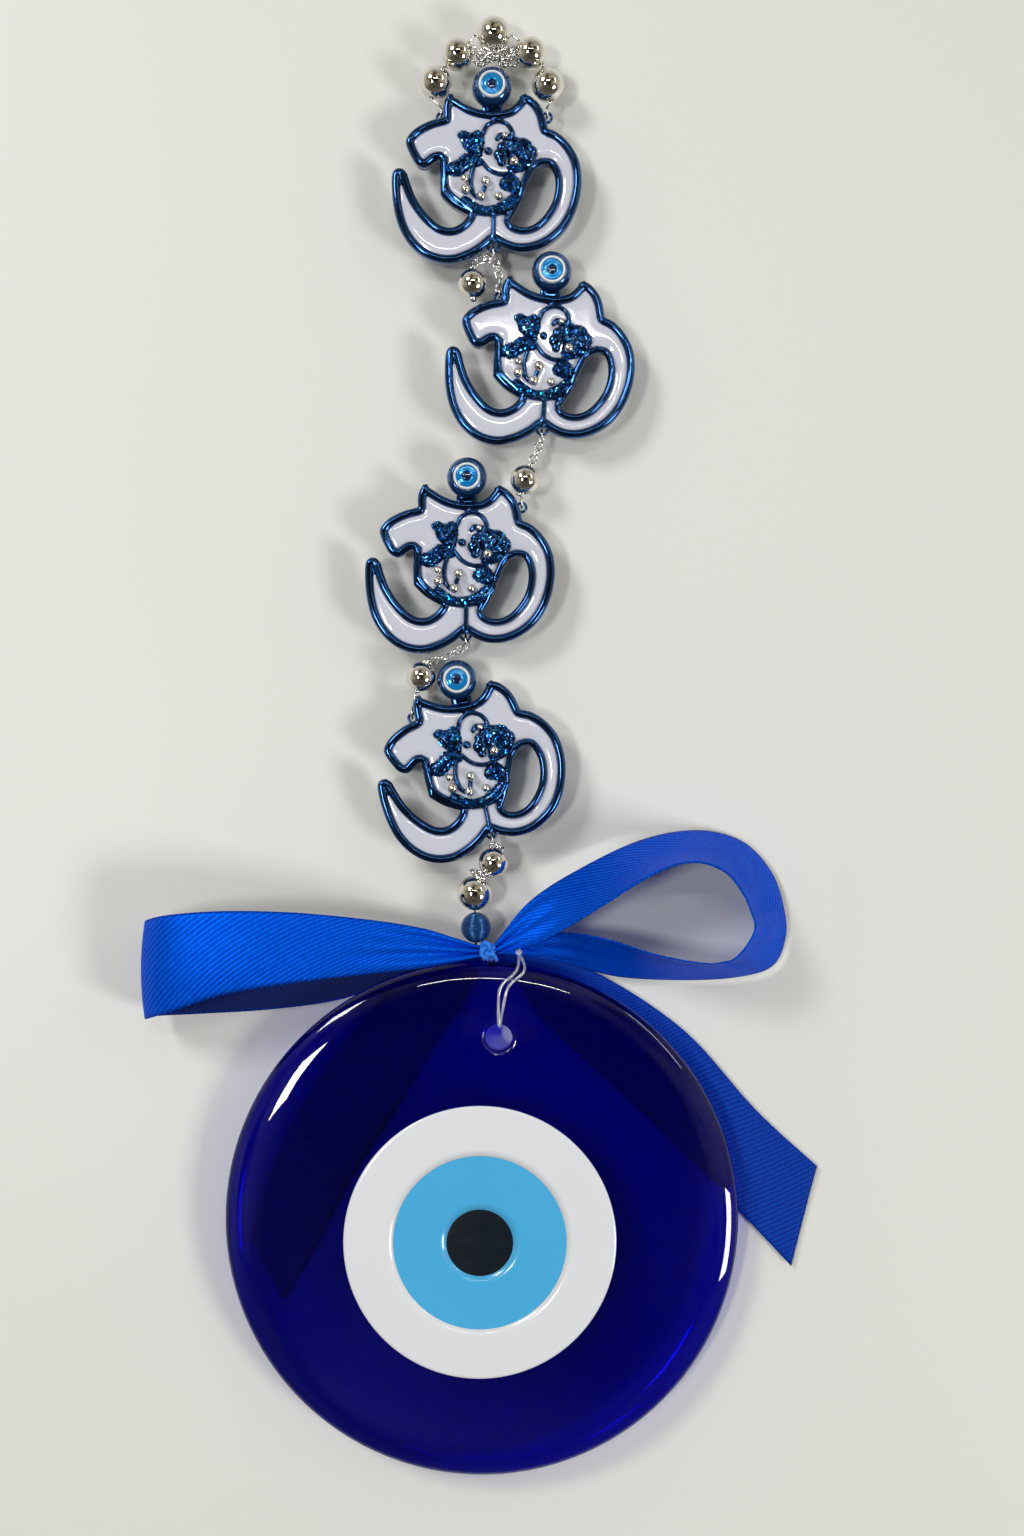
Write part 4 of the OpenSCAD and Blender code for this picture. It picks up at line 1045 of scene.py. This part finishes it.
def ball_link(number, start, finish, before, Seed):
    ends = sorted(bore_ends(f"link_ball_{number}", 3.5), key=lambda p: -p.z)
    return [tube(turn_about(start, False), 0.3, 10), tube(list(reversed(turn_about(finish, True))), 0.3, 10),
            chain_parts("upper", [start + DOWN] + before + [ends[0]], Seed=Seed),
            tube([ends[0], ends[1]], 0.3, 10), lump(*ends[0], 0.8, 0.8, 0.45), lump(*ends[1], 0.8, 0.8, 0.45),
            tube([ends[1], finish + UP], 0.3, 10)]


belongs(piece_object("link_2_chain", joined(ball_link(2, low[1], tops[1], [], 4)), chain_silver), "link_2", "string",
        "link_2_strand")
belongs(piece_object("link_3_chain", joined(ball_link(3, low[2], tops[2], [Vector((-10.8, 0.4, -142.6))], 6)),
                     chain_silver), "link_3", "string", "link_3_strand")
print("links: 3")

# %% [markdown]
# Below the last charm the chain goes on to two balls and a bead wound with metallic thread. The
# winding is one long helix of thread laid around a barrel.

# %% The drop
BLUE_BEAD = Vector((-4, 0, -206.6))
drop_1 = sorted(bore_ends("drop_ball_1", 3.5), key=lambda p: -p.z)
drop_2 = sorted(bore_ends("drop_ball_2", 4.1), key=lambda p: -p.z)
drop_parts = [tube(turn_about(low[3], False), 0.3, 10),
              chain_parts("drop", [low[3] + DOWN + UP * 0.4, low[3] + DOWN * 1.5, drop_1[0]], Pitch=1.2, Seed=8),
              tube([drop_1[0], drop_1[1], drop_2[0], drop_2[1], BLUE_BEAD + Vector((0, 0, 3.6)),
                    BLUE_BEAD - Vector((0, 0, 5.6))], 0.3, 10),
              lump(*(BLUE_BEAD - Vector((0, 0, 5.6))), 0.7, 0.7, 0.7)]
belongs(piece_object("drop_wire", joined(drop_parts), chain_silver), "drop", "string", "drop_string")
middle = (drop_1[1] + drop_2[0]) / 2
drop_seed = chain_parts("seed", [middle + Vector((-1.6, 0.6, 0.9)), middle + Vector((-0.4, -1.2, 0.3)),
                                 middle + Vector((1.4, -1.0, 0.1)), middle + Vector((2.0, 0.6, 0.6))],
                        Pitch=1.0, Seed=9, Jitter=0.9)
belongs(piece_object("drop_small_chain", drop_seed, chain_silver), "drop", "seed_beads", "drop_seed_beads")

helix = []
for k in range(27 * 20 + 1):
    share = k / (27 * 20)
    tip_angle = math.radians(-78 + 156 * share)
    radius = 3.42 * math.cos(tip_angle)
    helix.append(Vector((radius * math.cos(k * math.pi / 10), radius * math.sin(k * math.pi / 10),
                         3.42 * math.sin(tip_angle))))
core = [(0.78, -3.4), (1.3, -3.1), (2.5, -2.25), (3.3, -0.9), (3.42, 0), (3.3, 0.9), (2.5, 2.25), (1.3, 3.1),
        (0.78, 3.4)]
wound = joined([turned(core, 48, closed=True), tube(helix, 0.21, 6)])
belongs(piece_object("blue_bead_wound", placed(wound, Matrix.Translation(BLUE_BEAD)), wound_blue), "drop_blue_bead",
        "blue_bead", "drop_blue_bead")

# %% [markdown]
# A blue cord binds the waist of the bow and is knotted in front. The cord is three plies laid
# together: the tube's outline has three lobes that turn as it runs.

# %% Cord knot
WAIST = Vector((-1.4, 0, -212.2))
coil = [WAIST + Vector((-1.3 + 2.6 * k / 72, 1.75 * math.cos(k * math.pi / 12), 1.75 * math.sin(k * math.pi / 12)))
        for k in range(73)]
knot_middle = WAIST + Vector((0, -2.6, 0.6))
knot = []
for k in range(96):
    t = 2 * math.pi * k / 96
    ring_radius = 1.05 + 0.5 * math.cos(3 * t)
    knot.append(knot_middle + Vector((ring_radius * math.cos(2 * t), 0.55 * math.sin(3 * t),
                                      1.15 * ring_radius * math.sin(2 * t))))
knot_end = smooth_path([knot_middle + Vector((0.9, -0.3, -0.5)), knot_middle + Vector((1.9, -0.5, -1.4)),
                        knot_middle + Vector((2.3, 0.1, -2.5))], 8)
cord_parts = [tube(coil, 0.5, 12, plies=3, lay=2.6), tube(knot, 0.58, 12, closed=True, plies=3, lay=2.6),
              tube(knot_end, 0.42, 12, plies=3, lay=2.2)]
belongs(piece_object("cord_binding", joined(cord_parts), cord_blue), "bow", "cord", "cord_knot")
print("knot and binding done")

# %% [markdown]
# The bow is four strips of 22 mm satin ribbon. Each is one sheet between two edge curves, the
# same curves as in the CAD model, crowned a little across and pleated where the cord gathers
# it, then given the thickness of real ribbon.

# %% Ribbon sheets
def ribbon_sheet(name, edge_a, edge_b, inner, outer, crown, pleats, ripple=(), steps_along=7, strips=18):
    a, b = smooth_path(edge_a, steps_along), smooth_path(edge_b, steps_along)
    count = len(a)
    corners, uvs, run = [], [], 0.0
    length = sum(((a[i + 1] + b[i + 1]) / 2 - (a[i] + b[i]) / 2).length for i in range(count - 1))
    for i in range(count):
        if i:
            run += ((a[i] + b[i]) / 2 - (a[i - 1] + b[i - 1]) / 2).length
        j, k = max(i - 1, 0), min(i + 1, count - 1)
        along = (a[k] + b[k] - a[j] - b[j]).normalized()
        across_edge = b[i] - a[i]
        normal_out = along.cross(across_edge).normalized()
        gathered = max(0.0, 1 - across_edge.length / 14)
        for s in range(strips + 1):
            u = s / strips
            bulge = crown * across_edge.length / 24 * (1 - (2 * u - 1) ** 2)
            bulge += pleats * gathered ** 0.7 * math.sin(2 * math.pi * 2.5 * u + 0.6)
            for centre, width, u_from, u_to, height in ripple:
                fade = max(0.0, 1 - abs(u - (u_from + u_to) / 2) / max(abs(u_to - u_from), 1e-6) * 2)
                bulge += height * math.exp(-((run / length - centre) / width) ** 2) * fade
            corners.append(a[i] + across_edge * u + normal_out * bulge)
            uvs.append((25 * u, run))
    faces = [(i * (strips + 1) + s, i * (strips + 1) + s + 1, (i + 1) * (strips + 1) + s + 1, (i + 1) * (strips + 1) + s)
             for i in range(count - 1) for s in range(strips)]
    flat = piece_object(name, (corners, faces), inner, outwards=False)
    flat.data.materials.append(outer)
    layer = flat.data.uv_layers.new(name="ribbon")
    for loop in flat.data.loops:
        layer.data[loop.index].uv = uvs[loop.vertex_index]
    thick = flat.modifiers.new("ribbon thickness", "SOLIDIFY")
    thick.thickness, thick.offset, thick.material_offset = 0.00032, 0, 1
    finished = evaluated(flat, name, inner)
    finished.data.shade_smooth()
    print(name, "length", round(length, 1), "mm")
    return finished, length


left_top_edge = [(-2.8, -1.5, -211), (-9, -3.5, -208.8), (-17, -7, -206), (-29, -10, -203.8), (-45, -12.5, -202),
                 (-61, -13, -201.6), (-73.5, -11, -202.6), (-80, -6, -204.2), (-81.4, -1, -205.4), (-79, 3.5, -206.4),
                 (-69, 5.5, -207), (-52.5, 6, -207.2), (-36, 5, -207.4), (-22, 3.5, -208.8), (-10, 2, -210.6),
                 (-2.8, 1.4, -211.2)]
left_low_edge = [(-2.8, -1.5, -213.2), (-9, -3.5, -214.4), (-17, -7, -215.4), (-29, -10, -216.4), (-45, -12.5, -218),
                 (-61, -13, -220.6), (-73.5, -11, -224.8), (-80, -6, -227.2), (-81.4, -1, -227.8), (-79, 3.5, -228),
                 (-69, 5.5, -227.8), (-52.5, 6, -226.8), (-36, 5, -224.2), (-22, 3.5, -218.8), (-10, 2, -215),
                 (-2.8, 1.4, -213)]
right_outer_edge = [(0, -1.4, -210.8), (8, 0.5, -201), (20, 3, -193.4), (35, 4.5, -186.4), (48.5, 5, -184),
                    (59.5, 5, -186.6), (66.5, 5, -194), (69.4, 5, -202.4), (69.8, 5, -209.6), (66.5, 5, -216.4),
                    (57.5, 5, -219), (44.5, 5, -219.6), (30, 4.8, -218.8), (18.5, 4.5, -216), (9, 3.4, -214),
                    (0, 1.5, -213)]
right_inner_edge = [(0, -1.6, -213), (11, -6, -209.4), (22.5, -10, -202.4), (37, -14, -193), (45.5, -15, -190.4),
                    (52.5, -15, -192.4), (56.8, -15, -197.4), (59.6, -15, -204), (58, -15, -208.8), (54, -14, -213),
                    (48.5, -12.5, -213.6), (38, -10, -212), (26, -6.5, -208.6), (15.5, -1.5, -207.6),
                    (7.5, 0.9, -209.4), (0, 0.9, -211)]
left_tail_out = [(-3.4, 4.6, -211.6), (-13, 5.6, -215.5), (-27, 6, -226), (-40, 6.2, -241), (-49, 6.4, -256),
                 (-54, 6.4, -269),
                 (-57, 6.4, -281)]
left_tail_in = [(-0.6, 4.6, -213), (-4.6, 5.6, -221), (-13, 6, -233), (-22, 6.2, -248), (-33, 6.4, -265),
                (-41, 6.4, -280), (-50, 6.4, -296)]
right_tail_out = [(1.8, 4.9, -211.2), (12.5, 5.8, -212.8), (25, 6, -218.2), (38, 6, -226), (49, 6, -235),
                  (63, 6, -251), (77.6, 6, -264.4)]
right_tail_in = [(-0.2, 4.9, -213), (5, 5.8, -220), (14, 6, -231), (28, 6, -244), (43, 6, -258), (57, 6, -273),
                 (71.4, 6, -288.4)]

# %% The bow
# The left loop's inner side takes the satin with painted shade, much darker than the ribbon's own blue.
BOW = [("left_loop", left_top_edge, left_low_edge, satin_painted_shade, satin, 0.9, 1.0,
        ((0.17, 0.05, 0.0, 1.0, 0.35), (0.27, 0.03, 0.2, 1.0, -0.3))),
       ("right_loop", right_outer_edge, right_inner_edge, satin, satin, 0.7, 1.0,
        ((0.30, 0.03, 0.0, 0.9, 0.5), (0.50, 0.014, 0.2, 1.1, 1.1), (0.545, 0.012, 0.1, 0.9, -0.9),
         (0.62, 0.012, 0.3, 1.1, 0.9), (0.44, 0.02, 0.3, 0.8, -0.5))),
       ("left_tail", left_tail_out, left_tail_in, satin_back, satin_back, 0.1, 0.2, ()),
       ("right_tail", right_tail_out, right_tail_in, satin_back, satin_back, 0.3, 0.2,
        ((0.55, 0.05, 0.0, 1.0, 0.3), (0.75, 0.04, 0.0, 1.0, -0.3)))]
for label, edge_a, edge_b, inner, outer, crown, pleats, ripple in BOW:
    strip, length = ribbon_sheet(f"ribbon_{label}", edge_a, edge_b, inner, outer, crown, pleats, ripple,
                                 9 if "loop" in label else 8)
    belongs(strip, "bow", "satin", f"bow_{label}")

# %% [markdown]
# The disc is pressed glass. Its front is one smooth surface: a flat middle, an edge that rounds
# off over the last centimetre, and a shallow dimple around the hole. The mesh is laid out in
# rays from the hole, so the hole, the dimple and the round edge all get clean rings of faces.

# %% The glass disc
DISC_AT = Vector((-2.6, 0, -275.2))
DISC_TURN = math.radians(5.3)
DISC_R, DISC_T, HOLE_R, HOLE_UP, EYE_DOWN = 60.5, 6.5, 3.2, 43.0, 4.8
EDGE_RUN = 12.0
DIMPLE_R, DIMPLE_DEEP = 10.4, 0.9
disc_matrix = Matrix.Translation(DISC_AT) @ Matrix.Rotation(DISC_TURN, 4, "Y")


def edge_share(r):
    x = min(max((r - (DISC_R - EDGE_RUN)) / EDGE_RUN, 0), 1)
    return math.sqrt(max(1 - x ** 2.6, 0))


def dimple(d):
    x = min(d / DIMPLE_R, 1)
    return DIMPLE_DEEP * (1 - x ** 2) ** 1.5 if x < 1 else 0


def glass_side(rays, front):
    rings = []
    edge_steps = [6.0, 5.0, 4.1, 3.3, 2.6, 2.0, 1.5, 1.1, 0.75, 0.48, 0.28, 0.13, 0.04, 0.0]
    near_steps = [HOLE_R, HOLE_R + 0.12, HOLE_R + 0.3, HOLE_R + 0.6, 4.4, 5.2, 6.0, 6.8, 7.6, 8.4, 9.2, 9.9, 10.4, 11.0]
    for k in range(rays):
        angle = 2 * math.pi * k / rays
        direction = Vector((math.cos(angle), math.sin(angle)))
        hole = Vector((0, HOLE_UP))
        half_b = hole.dot(direction)

        def reach(radius):
            return -half_b + math.sqrt(max(half_b ** 2 - (hole.dot(hole) - radius ** 2), 0))

        distances = list(near_steps)
        edge = [reach(DISC_R - e) for e in edge_steps]
        span = edge[0] - distances[-1]
        distances += [distances[-1] + span * s / 15 for s in range(1, 15)] + edge
        ring = []
        for d in distances:
            p = hole + direction * d
            r = p.length
            half = DISC_T / 2 * edge_share(r)
            lip = 0.55 * max(0.0, 1 - (d - HOLE_R) / 0.6) ** 2
            y = -(half - dimple(d) - lip) if front else half - lip - 0.25 * dimple(d)
            ring.append((p.x, y, p.y))
        rings.append(ring)
    return rings


RAYS = 192
front_rays, back_rays = glass_side(RAYS, True), glass_side(RAYS, False)
corners, faces = [], []
across_count = len(front_rays[0])
for rays in (front_rays, back_rays):
    for ring in rays:
        corners += ring
for k in range(RAYS):
    m = (k + 1) % RAYS
    for j in range(across_count - 1):
        a, b = k * across_count + j, m * across_count + j
        faces.append((a, a + 1, b + 1, b))
        a, b = a + RAYS * across_count, b + RAYS * across_count
        faces.append((b, b + 1, a + 1, a))
    a, b = k * across_count, m * across_count
    faces.append((a, b, b + RAYS * across_count, a + RAYS * across_count))
disc_piece = piece_object("glass_disc", placed((corners, faces), disc_matrix), cobalt_glass)
seam = bmesh.new()
seam.from_mesh(disc_piece.data)
bmesh.ops.remove_doubles(seam, verts=seam.verts, dist=0.000002)
bmesh.ops.recalc_face_normals(seam, faces=seam.faces)
seam.to_mesh(disc_piece.data)
seam.free()
belongs(disc_piece, "disc", "cobalt_glass", "disc_glass")
print("disc faces:", len(disc_piece.data.polygons))

# %% [markdown]
# The eye is three drops of opaque glass, fused one on another while hot. Fusing leaves each
# spot slightly domed, with a soft round shoulder and an outline that is not quite a circle.

# %% Fused spots
def spot_part(inner, outer, top, shoulder, wobble, phase):
    rings = [(max(inner - 0.15, 0), 1.4)] if inner else [(0, 1.4)]
    start = max(inner - 0.1, 0)
    rings += [(outer, 1.4), (outer, top - shoulder)]
    for k in range(1, 9):
        angle = math.pi / 2 * k / 8
        rings.append((outer - shoulder * 1.6 * (1 - math.cos(angle)), top - shoulder * (1 - math.sin(angle))))
    for k in range(1, 7):
        rings.append((outer - shoulder * 1.6 + (start - outer + shoulder * 1.6) * k / 6, top + 0.02 * k))
    if not inner:
        rings[-1] = (0, rings[-1][1])
    corners, faces = turned(rings, 160, closed=bool(inner))
    result = []
    for x, y, z in corners:
        angle = math.atan2(y, x)
        s = 1 + wobble * (math.sin(2 * angle + phase) + 0.5 * math.sin(3 * angle + 2 * phase))
        result.append((x * s, y * s, z))
    return result, faces


eye_matrix = disc_matrix @ Matrix.Translation((0, 0, -EYE_DOWN)) @ TO_FRONT
SPOTS = [("white", spot_part(20.4, 32, 3.55, 0.5, 0.0015, 0.3), opal_white, "opal_white"),
         ("iris", spot_part(7.9, 21, 3.60, 0.25, 0.002, 1.2), sky_glass, "sky_blue"),
         ("pupil", spot_part(0, 8.4, 3.70, 0.3, 0.008, 2.1), black_glass, "black_glass")]
for label, part, material, slot_name in SPOTS:
    belongs(piece_object(f"fused_{label}", placed(part, eye_matrix), material), "disc", slot_name, f"disc_{label}")

# %% [markdown]
# The disc hangs on clear nylon: the line comes down in front of the glass as two strands, goes
# through the hole, and returns behind it to a knot inside the bow.

# %% Nylon thread
hole_at = disc_matrix @ Vector((0, 0, HOLE_UP))
hang = hole_at + Vector((0.2, 0, HOLE_R - 0.45))
knot_at = Vector((6.1, 0, -212.4))
THREAD_Y = 3.85
thread_parts = [lump(*knot_at, 0.8, 0.8, 0.8)]
for side in (-1, 1):
    strand = smooth_path([knot_at, knot_at + Vector((0.4 + 0.9 * side, -THREAD_Y - 0.1, -3.8)),
                          hang + Vector((1.2 + 0.9 * side, -THREAD_Y - 0.15, 9.5)),
                          hang + Vector((0.3 + 0.55 * side, -THREAD_Y, 4.5)),
                          hang + Vector((0.12 * side, -THREAD_Y + 0.6, 0.4))], 10)
    thread_parts.append(tube(strand, 0.3, 12))
thread_parts.append(tube(smooth_path([hang + Vector((0, -THREAD_Y + 0.6, 0.4)), hang + Vector((0, -2, -0.1)),
                                      hang + Vector((0, 2, -0.1)), hang + Vector((0, THREAD_Y - 0.3, 0.5)),
                                      hang + Vector((0.6, THREAD_Y, 5)), knot_at + Vector((0, THREAD_Y, -3.6)),
                                      knot_at], 8), 0.3, 12))
belongs(piece_object("nylon_thread", joined(thread_parts), nylon_clear), "thread", "nylon", "disc_thread")
print("thread done")

# %% [markdown]
# The ornament lies against a pale glossy surface. Seen from behind, that surface is left out,
# so its back faces are clear.

# %% Backdrop
backdrop_material, backdrop_tree, backdrop_shader = new_material(
    "pale surface", {"Base Color": (0.70, 0.715, 0.70, 1), "Roughness": 0.42,
                    "Specular IOR Level": 0.3})
facing = add_node(backdrop_tree, "ShaderNodeNewGeometry")
gone = add_node(backdrop_tree, "ShaderNodeBsdfTransparent")
either = add_node(backdrop_tree, "ShaderNodeMixShader")
backdrop_tree.links.new(facing.outputs["Backfacing"], either.inputs[0])
backdrop_tree.links.new(backdrop_shader.outputs[0], either.inputs[1])
backdrop_tree.links.new(gone.outputs[0], either.inputs[2])
backdrop_tree.links.new(either.outputs[0], backdrop_tree.nodes["Material Output"].inputs["Surface"])
WALL_Y = 7.4
wall = piece_object("backdrop", ([(-1500, WALL_Y, -1700), (1500, WALL_Y, -1700), (1500, WALL_Y, 1300),
                                  (-1500, WALL_Y, 1300)], [(0, 1, 2, 3)]), backdrop_material, outwards=False)

# %% [markdown]
# A soft window at the upper left, a smaller one below it and a light at the lower right give the
# soft shadows. A thin strip above the camera and a tall narrow window at the right draw the fine
# arcs of light in glass and enamel.

# %% Lights
AIM = Vector((0.0, 0.0, -0.17))


def soft_light(name, place, width, height, power, colour=(1, 1, 1), spread=180):
    lamp = bpy.data.lights.new(name, "AREA")
    lamp.shape, lamp.size, lamp.size_y = "RECTANGLE", width, height
    lamp.energy, lamp.color, lamp.spread = power, colour, math.radians(spread)
    obj = bpy.data.objects.new(name, lamp)
    obj.location = place
    obj.rotation_euler = (AIM - Vector(place)).to_track_quat("-Z", "Y").to_euler()
    bpy.context.scene.collection.objects.link(obj)
    return obj


soft_light("window_left", (-0.75, -0.95, 0.50), 0.30, 0.36, 7.3, (1.0, 0.99, 0.98))
soft_light("window_left_low", (-0.50, -1.15, -0.25), 0.14, 0.22, 4.2, (1.0, 0.985, 0.96))
soft_light("light_right", (0.95, -0.80, -0.66), 0.30, 0.35, 7.6, (1.0, 0.985, 0.97))
soft_light("strip_above", (0.02, -1.10, 0.22), 0.55, 0.02, 1.2, (1.0, 0.98, 0.96))
soft_light("window_right", (0.95, -0.75, 0.40), 0.08, 0.5, 1.0, (0.95, 0.98, 1.0))

# %% [markdown]
# The world is the room: pale all round, with a dark floor. Straight ahead it is darker and
# warmer, with a dark figure in the middle, and mirror-bright balls show that. Camera rays see
# only an even pale grey.

# %% World
world = bpy.data.worlds.new("room")
bpy.context.scene.world = world
world.use_nodes = True
room = world.node_tree
room.nodes.clear()
direction = add_node(room, "ShaderNodeTexCoord")
split_direction = add_node(room, "ShaderNodeSeparateXYZ")
ahead = add_node(room, "ShaderNodeMapRange", {1: 0.25, 2: -0.75, 3: 0.0, 4: 1.0})
clutter = add_node(room, "ShaderNodeTexNoise", {"Scale": 3.2, "Detail": 2.0})
warm = add_node(room, "ShaderNodeValToRGB")
warm.color_ramp.elements[0].position, warm.color_ramp.elements[0].color = 0.40, (0.045, 0.032, 0.018, 1)
warm.color_ramp.elements[1].position, warm.color_ramp.elements[1].color = 0.62, (0.42, 0.36, 0.25, 1)
blend_room = add_node(room, "ShaderNodeMix", data_type="RGBA")
blend_room.inputs[6].default_value = (0.66, 0.66, 0.64, 1)
figure_ahead = add_node(room, "ShaderNodeMapRange", {1: -0.86, 2: -0.97, 3: 0.0, 4: 0.94})
darker = add_node(room, "ShaderNodeMix", data_type="RGBA")
darker.inputs[7].default_value = (0.004, 0.004, 0.006, 1)
floor_share = add_node(room, "ShaderNodeMapRange", {1: -0.05, 2: -0.55, 3: 0.0, 4: 0.85})
floor_dark = add_node(room, "ShaderNodeMix", data_type="RGBA")
floor_dark.inputs[7].default_value = (0.05, 0.045, 0.04, 1)
path_kind = add_node(room, "ShaderNodeLightPath")
seen = add_node(room, "ShaderNodeMix", data_type="RGBA")
seen.inputs[7].default_value = (0.66, 0.66, 0.635, 1)
sky = add_node(room, "ShaderNodeBackground", {"Strength": 1.0})
room_out = add_node(room, "ShaderNodeOutputWorld")
room.links.new(direction.outputs["Generated"], split_direction.inputs[0])
room.links.new(split_direction.outputs["Y"], ahead.inputs[0])
room.links.new(direction.outputs["Generated"], clutter.inputs["Vector"])
room.links.new(clutter.outputs[0], warm.inputs[0])
room.links.new(ahead.outputs[0], blend_room.inputs[0])
room.links.new(warm.outputs[0], blend_room.inputs[7])
room.links.new(path_kind.outputs["Is Camera Ray"], seen.inputs[0])
room.links.new(split_direction.outputs["Y"], figure_ahead.inputs[0])
room.links.new(figure_ahead.outputs[0], darker.inputs[0])
room.links.new(blend_room.outputs[2], darker.inputs[6])
room.links.new(split_direction.outputs["Z"], floor_share.inputs[0])
room.links.new(floor_share.outputs[0], floor_dark.inputs[0])
room.links.new(darker.outputs[2], floor_dark.inputs[6])
room.links.new(floor_dark.outputs[2], seen.inputs[6])
room.links.new(seen.outputs[2], sky.inputs[0])
room.links.new(sky.outputs[0], room_out.inputs[0])
